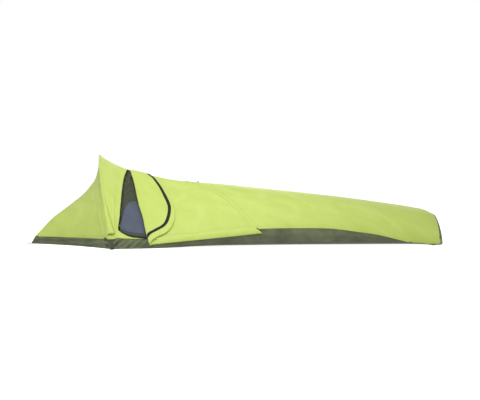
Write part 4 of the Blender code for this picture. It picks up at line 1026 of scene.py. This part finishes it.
def place_sill(a, b):
    at = a * (len(SILL_PATH) - 1)
    steps = np.arange(len(SILL_PATH))
    (u, rise), ahead, behind = (
        np.array([np.interp(at + more, steps, column) for column in zip(*SILL_PATH)])
        for more in (0, SILL_SMOOTHING, -SILL_SMOOTHING))
    inner = SILL_BAND * mix(*SILL_BAND_SHARES, min(1, 1.5 * a))
    u, rise = aside(u, rise, ahead - behind, mix(-SILL_BAND / 2, inner, b))
    return lifted(NEAR, u, rise, -(TAPE + LAYER_GAP))


cloth_sheet("sill_zip_cloth", 40, 5, place_sill, zip_tape_weave, "sill_zip_tape", thickness=TAPE)

# %% Folded flap
FLAP_GAP = 2.4 * MM
FLAP_SWELL = 5 * MM
FLAP_USUAL_WIDTH = 0.105
FLAP_FOLD_WAY = 0.12
ZIP_BAND = 21 * MM
ZIP_BAND_LEAST_WAY = 0.08
ZIP_BAND_SHARES = (
    (0, 0.85), (0.1, 0.95), (0.2, 1), (0.35, 1), (0.5, 0.95), (0.7, 0.8), (0.9, 0.7), (1, 0.65))


def flap_lift(way, rise):
    """How far the folded flap stands off the door."""
    waves = (1 + math.sin(9 * rise)) / 2
    width = smooth(FLAP_EDGE, rise) - smooth(FOLD_LINE, rise)
    swell = FLAP_SWELL * width / FLAP_USUAL_WIDTH * math.sin(math.pi * min(way, 1))
    off_fold = max(min(way / FLAP_FOLD_WAY, 1), math.sin(math.pi * rise)**0.5)
    return CLOTH + mix(GAP, FLAP_GAP, off_fold) + swell * waves


def flap_station(way, rise):
    start = smooth(FOLD_LINE, rise) + share_gap(GAP)
    return mix(start, smooth(FLAP_EDGE, rise), way)


def zip_band_way(rise):
    """Where the zip tape's inner edge lies on the flap."""
    lower = max(rise - 2 * STEP, 0)
    edge = skin(NEAR, flap_station(1, rise), rise)
    upper = lower + 2 * STEP
    slant = (skin(NEAR, flap_station(1, upper), upper)
             - skin(NEAR, flap_station(1, lower), lower))
    run = skin(NEAR, flap_station(1, rise) + STEP, rise) - edge
    cosine = abs(slant @ run) / np.linalg.norm(slant) / np.linalg.norm(run)
    full = np.linalg.norm(edge - skin(NEAR, flap_station(0, rise), rise))
    width = ZIP_BAND * straight(ZIP_BAND_SHARES, rise) / math.sqrt(1 - cosine**2)
    return max(1 - width / full, ZIP_BAND_LEAST_WAY)


def place_flap(a, b):
    rise = canopy_rise(b)
    return lifted(NEAR, flap_station(a, rise), rise, flap_lift(a, rise))


def place_band(a, b):
    rise = canopy_rise(b)
    way = mix(zip_band_way(rise), 1, a)
    lift = flap_lift(max(way, FLAP_FOLD_WAY), rise) + CLOTH + LAYER_GAP
    return lifted(NEAR, flap_station(way, rise), rise, lift)


cloth_sheet("flap_cloth", 30, 90, place_flap, lime_inner, "door_flap", body="flap",
            crease=soft_creases(31, 0.08, 0.0012, (1, 0.5)))
cloth_sheet("flap_zip_cloth", 9, 120, place_band, zip_tape_weave, "flap_zip_tape", body="flap",
            thickness=TAPE)

STRIP_EDGE = (
    (0.1105, -0.0402), (0.125, -0.007), (0.1423, 0.0173), (0.165, 0.044), (0.1843, 0.0966),
    (0.1985, 0.18), (0.2031, 0.31), (0.1935, 0.46))
STRIP_ROWS = (0, 0.03, 0.07, 0.12, 0.2, 0.28, 0.37, 0.48)
STRIP_CURL = 5 * MM
STRIP_STANDOFF = 8 * MM
STRIP_ROOT_GAP = 1.8 * MM


def place_strip(a, b):
    steps = np.arange(len(STRIP_EDGE))
    at = a * steps[-1]
    low = float(np.interp(at, steps, [max(r, LEAST_RISE) for r in STRIP_ROWS]))
    root = smooth(FLAP_EDGE, low) + share_gap(STRIP_ROOT_GAP)
    edge = [smooth(tuple(zip(steps, column)), at) for column in zip(*STRIP_EDGE)]
    away = mix(1, 0.4, b) * (1 - a)
    curl = STRIP_CURL * (1 - b)**3 * math.sin(math.pi * min(1, 0.15 + a))
    lift = flap_lift(1, 0) + STRIP_STANDOFF * away + curl
    return lifted(NEAR, mix(edge[0], root, b), mix(edge[1], low, b), lift)


cloth_sheet("storm_strip_cloth", 60, 10, place_strip, lime_nylon, "flap_storm_strip", body="flap")

# %% Rear storm flap and hem
STORM_EDGES = (-26 * MM, 16 * MM)
STORM_LIFT = 0.9 * MM
STORM_SWELL = 1.0 * MM
FLUSH_LIFT = 1.0 * MM
HEM_STANDOFF = 13 * MM
HEM_RUNS = (0.256, 1.043)
HEM_TOPS = (0.1605, 0.427)
HEM_TOP_RISE = 0.03
HEM_LOWS = (0.028, 0.099)
HEM_FRONT_EDGE = ((0, 0), (0.35, 0.3), (0.7, 0.7), (0.9, 0.92), (1, 1))


def on_storm(a, b):
    return smooth(DOOR_REAR, b) + share_gap(mix(*STORM_EDGES, a)), canopy_rise(b)


def place_hem(a, b):
    front_u = mix(share_gap(HEM_RUNS[0]), HEM_TOPS[0], straight(HEM_FRONT_EDGE, b))
    rear_u = mix(share_gap(HEM_RUNS[1]), HEM_TOPS[1], b)
    top = skin(NEAR, mix(*HEM_TOPS, a), HEM_TOP_RISE)[2]
    u = mix(front_u, rear_u, a)
    lift = mix(HEM_STANDOFF, FLUSH_LIFT, b**2)
    return lifted(NEAR, u, height_rise(u, mix(mix(*HEM_LOWS, a), top, b)), lift)


skin_cloth("rear_storm_cloth", NEAR, 12, 80, on_storm,
           lambda a, b: STORM_LIFT + STORM_SWELL * math.sin(math.pi * a), lime_nylon,
           "rear_storm_flap", body="door")
cloth_sheet("hem_cloth", 90, 14, place_hem, lime_nylon, "door_hem", body="hem",
            thickness=1.2 * MM)

# %% Bottom zip and the door's corner
ZIP_RUNS = (0.262, 0.985)
ZIP_DROPS = (0.013, 0.022)
ZIP_LIFT = CLOTH + 2 * LAYER_GAP
BOTTOM_TAPE_WIDTH = 20 * MM
CORNER_PATCH = (0.112, 0.150)
CORNER_PATCH_LOW = ((0.112, -0.030), (0.126, -0.018), (0.1312, 0.008), (0.150, 0.008))
CORNER_PATCH_HIGH = 8 * MM
CORNER_PATCH_LIFT = ZIP_LIFT + TAPE + GAP


def zip_end(run, drop):
    u = share_gap(run)
    return lifted(NEAR, u, height_rise(u, section_at(u).seam - drop), ZIP_LIFT)


ZIP_ENDS = [zip_end(run, drop) for run, drop in zip(ZIP_RUNS, ZIP_DROPS)]


def place_bottom_zip(a, b):
    point = mix(*ZIP_ENDS, a)
    point[2] += (b - 0.5) * BOTTOM_TAPE_WIDTH
    return point


def place_corner_patch(a, b):
    """The door's lower front corner is doubled with a lime patch, just over the zip."""
    u = mix(*CORNER_PATCH, a)
    way = (u - share_gap(ZIP_RUNS[0])) / share_gap(ZIP_RUNS[1] - ZIP_RUNS[0])
    low = mix(*ZIP_ENDS, way)[2] + straight(CORNER_PATCH_LOW, u)
    height = mix(low, section_at(u).seam + CORNER_PATCH_HIGH, b)
    return lifted(NEAR, u, height_rise(u, height), mix(CORNER_PATCH_LIFT, MM, b**4))


cloth_sheet("bottom_zip_cloth", 60, 5, place_bottom_zip, zip_tape_weave, "bottom_zip_tape",
            thickness=TAPE)
cloth_sheet("door_corner_patch", 24, 10, place_corner_patch, lime_nylon, body="door",
            rests_on="bottom_zip_cloth")

# %% Screen
SCREEN_SETBACK = 22 * MM
SCREEN_TOP_SETBACK = TAPE + 0.8 * MM
SCREEN_TOP = 0.94
SCREEN_INSETS = (16 * MM, 58 * MM)
DOORWAY_CORNER = 0.07
SCREEN_FOOT = (0.024, 0.037, 0.059)
SCREEN_FOOT_LIFT = ((0, 0.034), (0.02, 0.024), (0.055, 0.010), (0.105, 0.002), (0.14, 0), (1, 0))
SCREEN_CROWDING = 1.5
SCREEN_SPLIT = (
    (0, 0.145), (0.012, 0.2), (0.02, 0.25), (0.03, 0.3), (0.057, 0.35), (0.1, 0.375),
    (0.2, 0.382), (1, 0.387))
SCREEN_SEAM = 0.0008
SPLIT_SEAM = 0.002


def place_screen(low, high, a, b):
    """The screen hangs inside the doorway's edges, and meets the doorway at its top."""
    way = a**SCREEN_CROWDING
    rise = mix(low(way), high(way), b)
    front = opening_edge(max(rise, DOORWAY_CORNER)) + share_gap(SCREEN_INSETS[0])
    rear = smooth(DOOR_REAR, rise) - share_gap(SCREEN_INSETS[1])
    setback = mix(SCREEN_SETBACK, SCREEN_TOP_SETBACK, (rise / SCREEN_TOP)**5)
    return lifted(NEAR, mix(front, rear, way), rise, -setback)


def foot_edge(number, more=0):
    """A seam near the screen's foot, which curves up at the doorway's corner."""
    return lambda way: SCREEN_FOOT[number] + more + smooth(SCREEN_FOOT_LIFT, way)


def split_edge(more=0):
    return lambda way: straight(SCREEN_SPLIT, way) + more


for name, low, high, finish, node, columns, rows, thickness, crease in (
        ("screen_zip_cloth", foot_edge(0), foot_edge(1), zip_tape_weave,
         "screen_zip_tape", 80, 4, TAPE, None),
        # The border's darker olive is painted shade, as the border sits back in the doorway's
        # shadow
        ("screen_border_cloth", foot_edge(1, SCREEN_SEAM), foot_edge(2), darker_olive_and_painted_shade,
         "screen_border", 80, 5, CLOTH, None),
        ("screen_panel_cloth", foot_edge(2, SCREEN_SEAM), split_edge(), slate_polyester,
         "screen_panel", 120, 24, CLOTH, soft_creases(41, 0.05, 0.003, (1, 0.6))),
        ("screen_net", split_edge(SPLIT_SEAM), lambda way: SCREEN_TOP, insect_net,
         "screen_mesh", 120, 50, 0.5 * MM, soft_creases(43, 0.06, 0.004, (0.5, 1.4)))):
    cloth_sheet(name, columns, rows, partial(place_screen, low, high), finish, node,
                body="screen", thickness=thickness, crease=crease, held="hung",
                rests_on="rear_panel_cloth")

# %% [markdown]
# ## Peg loops
# A peg loop is a short piece of webbing, folded and sewn under the tub's edge. Each
# one is a plane that is inset and opened, then thickened and softened. One loop is
# modelled, and the others are copies of it that are turned to their own corners.
# %% Peg loops
LOOP_WIDTH = 26 * MM
LOOP_LENGTH = 33 * MM
LOOP_END = 4 * MM
LOOP_SLOT = (14 * MM, 18 * MM)
LOOP_CORNER = 5 * MM
WEBBING = 2 * MM
EDGE_TOLERANCE = 0.1 * MM


def in_edit_mode(piece, *steps):
    """Runs edit mode operators on one piece, and comes back to object mode."""
    bpy.ops.object.select_all(action="DESELECT")
    piece.select_set(True)
    bpy.context.view_layer.objects.active = piece
    bpy.ops.object.mode_set(mode="EDIT")
    bpy.ops.mesh.select_all(action="SELECT")
    for step in steps:
        step()
    bpy.ops.object.mode_set(mode="OBJECT")


def choose(kind, test):
    """A step that selects faces or vertices by a test on their middle."""
    def step():
        mesh = bpy.context.active_object.data
        bpy.ops.mesh.select_mode(type=kind)
        shape = bmesh.from_edit_mesh(mesh)
        items = shape.verts if kind == "VERT" else shape.faces
        for item in items:
            item.select = False
        for item in items:
            places = [item.co] if kind == "VERT" else [v.co for v in item.verts]
            item.select = test(sum(places, Vector()) / len(places))
        shape.select_flush_mode()
        bmesh.update_edit_mesh(mesh)
    return step


def choose_all():
    """Like the functions below it, a step of in_edit_mode."""
    bpy.ops.mesh.select_all(action="SELECT")


def resize(*value):
    return lambda: bpy.ops.transform.resize(value=value)


def move(*value):
    return lambda: bpy.ops.transform.translate(value=value)


def inset(thickness, depth=0):
    return lambda: bpy.ops.mesh.inset(thickness=thickness, depth=depth)


def delete(kind):
    return lambda: bpy.ops.mesh.delete(type=kind)


def placed_copy(model, name, matrix, finish, body, slot, node):
    """A copy of a modelled piece with its own mesh, its place put into that mesh."""
    piece = add_piece(name, model.data.copy(), finish)
    piece.data.transform(matrix)
    declare(piece, slot, body, node)
    return piece


bpy.ops.mesh.primitive_plane_add(size=1)
loop_model = bpy.context.active_object
in_edit_mode(
    loop_model,
    resize(LOOP_LENGTH, LOOP_WIDTH, 1),
    move(LOOP_LENGTH / 2, 0, 0),
    inset((LOOP_WIDTH - LOOP_SLOT[0]) / 2),
    resize(LOOP_SLOT[1] / (LOOP_LENGTH - LOOP_WIDTH + LOOP_SLOT[0]), 1, 1),
    move(LOOP_LENGTH / 2 - LOOP_END - LOOP_SLOT[1] / 2, 0, 0),
    delete("FACE"),
    choose_all,
    lambda: bpy.ops.mesh.subdivide(number_cuts=3),
    choose("VERT", lambda co: co.x > LOOP_LENGTH - EDGE_TOLERANCE
           and abs(co.y) > LOOP_WIDTH / 2 - EDGE_TOLERANCE),
    lambda: bpy.ops.mesh.bevel(offset=LOOP_CORNER, segments=4, affect="VERTICES"))
finish_modifier(loop_model, "SOLIDIFY", thickness=WEBBING - 0.2 * MM, offset=0)
finish_modifier(loop_model, "BEVEL", width=0.4 * MM, segments=2)
loop_model.data.shade_smooth()


def to_matrix(axes, place):
    """A matrix from three axes, which are its columns, and a place."""
    matrix = np.eye(4)
    matrix[:3, :3], matrix[:3, 3] = axes, place
    return Matrix([list(row) for row in matrix])


def loop_matrix(root, heading):
    """Turns the loop from the X axis to its own heading, flat on the ground."""
    ahead = np.array(heading, dtype=float)
    left = np.array((-ahead[1], ahead[0], 0))
    return to_matrix(np.transpose((ahead, left, (0, 0, 1))), (*root, WEBBING / 2))


FOOT_LOOP_STATION = 0.975
foot_corner = section_at(FOOT_LOOP_STATION)
LOOP_PLACES = {"bow_peg_loop": ((BOW_X - 3 * GAP, 0), (-1, 0, 0))}
for side, word in SIDES:
    LOOP_PLACES["hoop_peg_loop_" + word] = (
        (BODY_START_X, side * (HOOP_HALF_WIDTH + CLOTH + 2 * GAP)), (0, side, 0))
    LOOP_PLACES["foot_peg_loop_" + word] = (
        (foot_corner.base_x, side * (foot_corner.half + 2 * GAP)), (0, side, 0))
for node, (root, heading) in LOOP_PLACES.items():
    low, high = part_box(node)
    reach = high[1] - low[1]
    if node == "bow_peg_loop":
        reach = max(high[0] - low[0], reach)
    matrix = loop_matrix(root, heading) @ Matrix.Diagonal((reach / LOOP_LENGTH, 1, 1, 1))
    piece = placed_copy(loop_model, node + "_webbing", matrix, olive_webbing, "shell", "webbing",
                        node)
    print(node, "reaches", round(reach, 4), "m")
bpy.data.objects.remove(loop_model)

# %% [markdown]
# The ridge loop holds up a guy line or a lamp. It is a half ring of narrow webbing,
# made from a circle whose lower half is taken away and whose rim is drawn sideways.
# %% Ridge loop
RIDGE_LOOP_RADIUS = 7 * MM
RIDGE_LOOP_WIDTH = 10 * MM
low, high = (Vector(corner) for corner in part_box("ridge_loop"))
print("ridge loop spans", [round(v, 4) for v in (*low, *high)])
bpy.ops.mesh.primitive_circle_add(vertices=32, radius=RIDGE_LOOP_RADIUS - WEBBING / 2)
ridge_model = bpy.context.active_object
in_edit_mode(
    ridge_model,
    choose("VERT", lambda co: co.y < -EDGE_TOLERANCE),
    delete("VERT"),
    choose_all,
    lambda: bpy.ops.mesh.extrude_region_move(
        TRANSFORM_OT_translate={"value": (0, 0, RIDGE_LOOP_WIDTH)}),
    choose_all,
    move(0, 0, -RIDGE_LOOP_WIDTH / 2),
    lambda: bpy.ops.mesh.normals_make_consistent(inside=False))
finish_modifier(ridge_model, "SOLIDIFY", thickness=WEBBING - 0.4 * MM, offset=0)
finish_modifier(ridge_model, "BEVEL", width=0.3 * MM, segments=2)
ridge_model.data.shade_smooth()
across_ridge = Matrix(((0, 0, 1, 0), (1, 0, 0, 0), (0, 1, 0, 0), (0, 0, 0, 1)))
middle = Vector((*(low.xy + high.xy) / 2, low.z))
piece = placed_copy(ridge_model, "ridge_loop_webbing", Matrix.Translation(middle) @ across_ridge,
                    olive_webbing, "shell", "webbing", "ridge_loop")
bpy.data.objects.remove(ridge_model)

# %% [markdown]
# ## Zip sliders
# A slider is a small casting with a groove for the teeth in each side and a bridge on
# top that holds the pull. The slider starts as a cube and the pull as a plane, and both
# are cut, pinched and bevelled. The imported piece's own points tell where each copy goes
# and how it is turned.
# %% Sliders and pulls
SLIDER_SIZE = (15 * MM, 10 * MM, 3.6 * MM)
SLIDER_GROOVE = (0.3 * MM, -0.9 * MM)
SLIDER_RECESS = (0.8 * MM, -0.7 * MM)
BRIDGE_RADII = (2.6 * MM, 0.55 * MM)
BRIDGE_SUNK = 1.2 * MM
BRIDGE_CUT = 1.9 * MM
PULL_SIZE = (26 * MM, 6 * MM, 1.4 * MM)


def node_matrix(node):
    """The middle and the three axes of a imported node, longest first, the thin one outwards."""
    places = np.array([v.co[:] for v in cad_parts[node].data.vertices])
    mean = places.mean(axis=0)
    _, axes = np.linalg.eigh(np.cov((places - mean).T))
    axes = axes[:, ::-1]
    if axes[:, 2][1] > 0:
        axes[:, 2] *= -1
    if axes[:, 0][0] < 0:
        axes[:, 0] *= -1
    axes[:, 1] = np.cross(axes[:, 2], axes[:, 0])
    local = (places - mean) @ axes
    print(node, "is", [round(v / MM, 1) for v in np.ptp(local, axis=0)], "mm")
    return to_matrix(axes, mean + axes @ ((local.max(axis=0) + local.min(axis=0)) / 2))


bpy.ops.mesh.primitive_cube_add(size=1)
slider_model = bpy.context.active_object
in_edit_mode(
    slider_model,
    resize(*SLIDER_SIZE),
    lambda: bpy.ops.mesh.subdivide(number_cuts=3),
    choose("VERT", lambda co: co.x > 0.4 * SLIDER_SIZE[0]),
    resize(1, 0.7, 1),
    choose("VERT", lambda co: co.x < -0.4 * SLIDER_SIZE[0]),
    resize(1, 0.86, 1),
    choose("FACE", lambda co: abs(co.y) > 0.33 * SLIDER_SIZE[1]
           and abs(co.z) < 0.3 * SLIDER_SIZE[2] and abs(co.x) < 0.45 * SLIDER_SIZE[0]),
    inset(*SLIDER_GROOVE),
    choose("FACE", lambda co: co.z > 0.45 * SLIDER_SIZE[2]
           and abs(co.y) < 0.3 * SLIDER_SIZE[1] and abs(co.x) < 0.3 * SLIDER_SIZE[0]),
    inset(*SLIDER_RECESS))
finish_modifier(slider_model, "BEVEL", width=0.35 * MM, segments=2)
bpy.ops.object.shade_smooth_by_angle(angle=math.radians(40))
bpy.ops.mesh.primitive_torus_add(
    major_radius=BRIDGE_RADII[0], minor_radius=BRIDGE_RADII[1], major_segments=20,
    minor_segments=8, location=(0, 0, SLIDER_SIZE[2] / 2 - BRIDGE_SUNK),
    rotation=(math.pi / 2, 0, 0))
bridge = bpy.context.active_object
bpy.ops.object.transform_apply(location=True, rotation=True, scale=True)
in_edit_mode(
    bridge,
    choose("VERT", lambda co: co.z < SLIDER_SIZE[2] / 2 - BRIDGE_CUT),
    delete("VERT"),
    choose_all,
    bpy.ops.mesh.select_non_manifold,
    lambda: bpy.ops.mesh.fill_holes(sides=0),
    choose_all,
    resize(1.3, 1.6, 0.75))
bridge.data.shade_smooth()
bpy.ops.object.select_all(action="DESELECT")
bridge.select_set(True)
slider_model.select_set(True)
bpy.context.view_layer.objects.active = slider_model
bpy.ops.object.join()

bpy.ops.mesh.primitive_plane_add(size=1)
pull_model = bpy.context.active_object
in_edit_mode(
    pull_model,
    resize(PULL_SIZE[0], PULL_SIZE[1], 1),
    lambda: bpy.ops.mesh.subdivide(number_cuts=5),
    choose("VERT", lambda co: co.x > 0.45 * PULL_SIZE[0]),
    resize(1, 0.72, 1),
    choose("VERT", lambda co: abs(co.x + 0.17 * PULL_SIZE[0]) < 1 * MM),
    resize(1, 0.7, 1),
    choose("FACE", lambda co: abs(co.y) < 0.2 * PULL_SIZE[1]
           and -0.45 * PULL_SIZE[0] < co.x < -0.3 * PULL_SIZE[0]),
    delete("FACE"))
finish_modifier(pull_model, "SOLIDIFY", thickness=PULL_SIZE[2], offset=0)
finish_modifier(pull_model, "BEVEL", width=0.3 * MM, segments=2)
finish_modifier(pull_model, "SUBSURF", levels=1, render_levels=1)
pull_model.data.shade_smooth()

for model, word in ((slider_model, "slider"), (pull_model, "pull")):
    for node in ("door_" + word, "screen_" + word):
        placed_copy(model, node + "_casting", node_matrix(node), dark_zinc, node, "slider_metal",
                    node)
    bpy.data.objects.remove(model)

# %% [markdown]
# ## Sewing
# Every seam of a tent shows its thread, and every zip its teeth. One stitch and one
# tooth are modelled, each with few faces, and are then laid along the seams in their
# hundreds. A row is given in the shares of the sheet that it is sewn to, so it
# follows that sheet wherever it bends.
# %% One stitch and one tooth
STITCH_LENGTH = 3.0 * MM
STITCH_PITCH = 4.2 * MM
TOOTH_SIZE = (1.5 * MM, 4.2 * MM, 1.5 * MM)
TOOTH_PITCH = 2.6 * MM
SEWN_LIFT = 0.1 * MM


def few_faces(*steps):
    """Models the small shape that was just added, and gives its points and faces."""
    model = bpy.context.active_object
    in_edit_mode(model, *steps)
    points = np.array([v.co[:] for v in model.data.vertices])
    faces = [tuple(face.vertices) for face in model.data.polygons]
    bpy.data.objects.remove(model)
    return points, faces


bpy.ops.mesh.primitive_cylinder_add(vertices=5, radius=0.42 * MM, depth=STITCH_LENGTH * 0.6)
STITCH = few_faces(
    lambda: bpy.ops.transform.rotate(
        value=math.pi / 2, orient_axis="Y", center_override=(0, 0, 0)),
    choose("FACE", lambda co: abs(co.x) > 0.29 * STITCH_LENGTH),
    inset(0.28 * MM, STITCH_LENGTH * 0.2),
    choose("FACE", lambda co: abs(co.x) > 0.4 * STITCH_LENGTH),
    move(0, 0, -0.3 * MM))
bpy.ops.mesh.primitive_cube_add(size=1)
TOOTH = few_faces(
    resize(*TOOTH_SIZE),
    choose("FACE", lambda co: co.z > 0.4 * TOOTH_SIZE[2]),
    resize(0.6, 0.8, 1))
print("a stitch has", len(STITCH[1]), "faces and a tooth", len(TOOTH[1]))


# %% Rows of stitches and teeth
def sheet_point(place, facing, a, b, lift):
    """A point over a sheet, at a height above its outer face, and the way that it faces."""
    step = 0.002
    a0, a1, b0, b1 = max(a - step, 0), min(a + step, 1), max(b - step, 0), min(b + step, 1)
    normal = unit(np.cross(place(a1, b) - place(a0, b), place(a, b1) - place(a, b0)) * facing)
    return place(a, b) + normal * lift, normal


def read_table(table, run, at):
    """The row of a table at a distance along it."""
    return np.array([np.interp(at, run, column) for column in table.T])


def laid_along(sheet, ending, routes, shape, pitch, finish=None):
    """Lays copies of a small shape along routes, which are lists of shares of a sheet."""
    place, facing, body, slot, thickness = CUTS[sheet]
    shape_points, shape_faces = shape
    points, faces = [], []
    for route in routes:
        route = np.array(route, dtype=float)
        corners = range(len(route))
        shares = [read_table(route, corners, share)
                  for share in np.linspace(0, len(route) - 1, max(60, 25 * len(route)))]
        laid = [sheet_point(place, facing, *ab, thickness + SEWN_LIFT) for ab in shares]
        places, normals = (np.array(rows) for rows in zip(*laid))
        steps = np.linalg.norm(np.diff(places, axis=0), axis=1)
        run = np.concatenate(([0], np.cumsum(steps)))
        for at in np.arange(pitch / 2, run[-1] - pitch / 4, pitch):
            along = unit(read_table(places, run, at + pitch / 3)
                         - read_table(places, run, at - pitch / 3))
            across = unit(np.cross(read_table(normals, run, at), along))
            axes = np.array((along, across, np.cross(along, across)))
            start = len(points) * len(shape_points)
            points.append(read_table(places, run, at) + shape_points @ axes)
            faces += [tuple(start + corner for corner in face) for face in shape_faces]
    name = sheet.replace("_cloth", "") + ending
    mesh = bpy.data.meshes.new(name)
    mesh.from_pydata([tuple(p) for p in np.concatenate(points)], [], faces)
    mesh.shade_smooth()
    declare(add_piece(name, mesh, finish or THREADS[slot]), slot, body)
    print(name, "has", len(points), "of them")


LONG = np.linspace(0, 1, 9)
THREADS = {"lime_cloth": lime_thread, "olive_cloth": olive_thread, "slate_cloth": olive_thread,
           "zip_tape": black_thread}


def level(b, start=0.01, end=0.99):
    return [(mix(start, end, a), b) for a in LONG]


def upright(a, start=0.01, end=0.99):
    return [(a, mix(start, end, b)) for b in LONG]


# A name that ends in _ is a sheet on both sides
SEAMS = {
    "tub_wall_cloth_near": (level(0.955),),
    "tub_wall_cloth_far": (level(0.955), level(0.90)),
    "bow_tub_cloth_": (level(0.95, 0.01, 0.97),),
    "foot_panel_cloth": (level(0.05),),
    "pole_pocket_cloth_": (upright(0.06), upright(0.94), level(0.05, 0.06, 0.94)),
    "sleeve_tab_cloth_": (level(0.2, 0.08, 0.92), level(0.8, 0.08, 0.92)),
    "bow_panel_cloth_": (upright(0.985), level(0.02, 0.04, 0.97)),
    "hoop_panel_cloth": (upright(0.06), upright(0.80), upright(0.72)),
    "door_cloth": (upright(0.955), level(0.02, 0.05, 0.95)),
    "rear_panel_cloth": (upright(0.015), level(0.02), upright(0.992)),
    "far_panel_cloth": (upright(0.005), level(0.02), upright(0.992)),
    "rear_storm_cloth": (upright(0.12), upright(0.9)),
    "storm_strip_cloth": (level(0.12, 0.02, 0.98),),
    "flap_cloth": (upright(0.08),),
    "hem_cloth": (level(0.05), level(0.14), level(0.94)),
    "flap_zip_cloth": (upright(0.12), upright(0.3)),
    "screen_border_cloth": (level(0.15), level(0.85)),
    "screen_panel_cloth": (level(0.03), level(0.96))}
TEETH = {
    "flap_zip_cloth": upright(0.86, 0.005, 0.995),
    "front_zip_cloth": upright(0.5, 0.005, 0.995),
    "rear_zip_cloth": upright(0.5, 0.005, 0.995),
    "bottom_zip_cloth": level(0.5, 0.03, 0.995),
    "sill_zip_cloth": level(0.62, 0.03, 0.97),
    "screen_zip_cloth": level(0.5, 0.03, 0.97)}
for sheet, routes in SEAMS.items():
    for word in ("near", "far") if sheet.endswith("_") else ("",):
        laid_along(sheet + word, "_stitches", routes, STITCH, STITCH_PITCH)
for sheet, route in TEETH.items():
    laid_along(sheet, "_teeth", (route,), TOOTH, TOOTH_PITCH, coil_nylon)

# %% [markdown]
# ## Floor and light
# The photograph has a plain white ground. A pale floor keeps the tent's soft shadow,
# and large lamps give an even light from above, from the front and from behind.
# %% Stage
WHITE = (1, 1, 1, 1)
FLOOR_GREY = (0.7, 0.7, 0.7, 1)
FLOOR_GLOW = 0.88
FLOOR_SIZE = 60
ROOM_LIGHT = 0.45


def seen_ray(tree):
    """1 for a ray from the camera, from a mirror or through glass, which all see the paper."""
    ray = add_node(tree, "LightPath")
    first = add_node(tree, "Math", {0: ray["Is Camera Ray"], 1: ray["Is Glossy Ray"]},
                     operation="MAXIMUM")
    return add_node(tree, "Math", {0: first["Value"], 1: ray["Is Transmission Ray"]},
                    operation="MAXIMUM")["Value"]


material, tree = new_finish("pale_studio_floor")
front = add_node(tree, "BsdfDiffuse", {"Color": FLOOR_GREY})["BSDF"]
dark = add_node(tree, "Emission", {"Strength": 0.0})["Emission"]
glow = add_node(tree, "Emission", {"Color": WHITE, "Strength": FLOOR_GLOW})["Emission"]
seen = add_node(tree, "MixShader", {"Fac": seen_ray(tree), 1: dark, 2: glow})["Shader"]
both = add_node(tree, "AddShader", {0: front, 1: seen})["Shader"]
add_node(tree, "OutputMaterial", {"Surface": both})
bpy.ops.mesh.primitive_plane_add(size=FLOOR_SIZE, location=(0, 0, -0.5 * MM))
floor = bpy.context.active_object
floor.name = "floor"
floor.data.materials.append(material)

world = bpy.data.worlds.new("studio")
bpy.context.scene.world = world
world.use_nodes = True
tree = world.node_tree
tree.nodes.clear()
room = add_node(tree, "Background", {"Color": WHITE, "Strength": ROOM_LIGHT})["Background"]
paper = add_node(tree, "Background", {"Color": WHITE, "Strength": 1.0})["Background"]
seen = add_node(tree, "MixShader", {"Fac": seen_ray(tree), 1: room, 2: paper})["Shader"]
add_node(tree, "OutputWorld", {"Surface": seen})

LAMP_SIZE = 2.0
LAMPS = {
    "overhead": ((-0.05, -1.2, 2.6), (-0.1, 0, 0.3), 38),
    "front_left": ((-1.6, -4.2, 2.0), (-0.5, 0, 0.2), 77),
    "back": ((0.6, 4.2, 2.2), (0, 0, 0.3), 60)}
for name, (place, target, power) in LAMPS.items():
    lamp = bpy.data.lights.new(name, "AREA")
    lamp.shape = "DISK"
    lamp.size = LAMP_SIZE
    lamp.energy = power
    item = bpy.data.objects.new(name, lamp)
    item.location = place
    item.rotation_euler = (Vector(target) - Vector(place)).to_track_quat("-Z", "Y").to_euler()
    bpy.context.scene.collection.objects.link(item)
bpy.context.scene.view_settings.view_transform = "Standard"
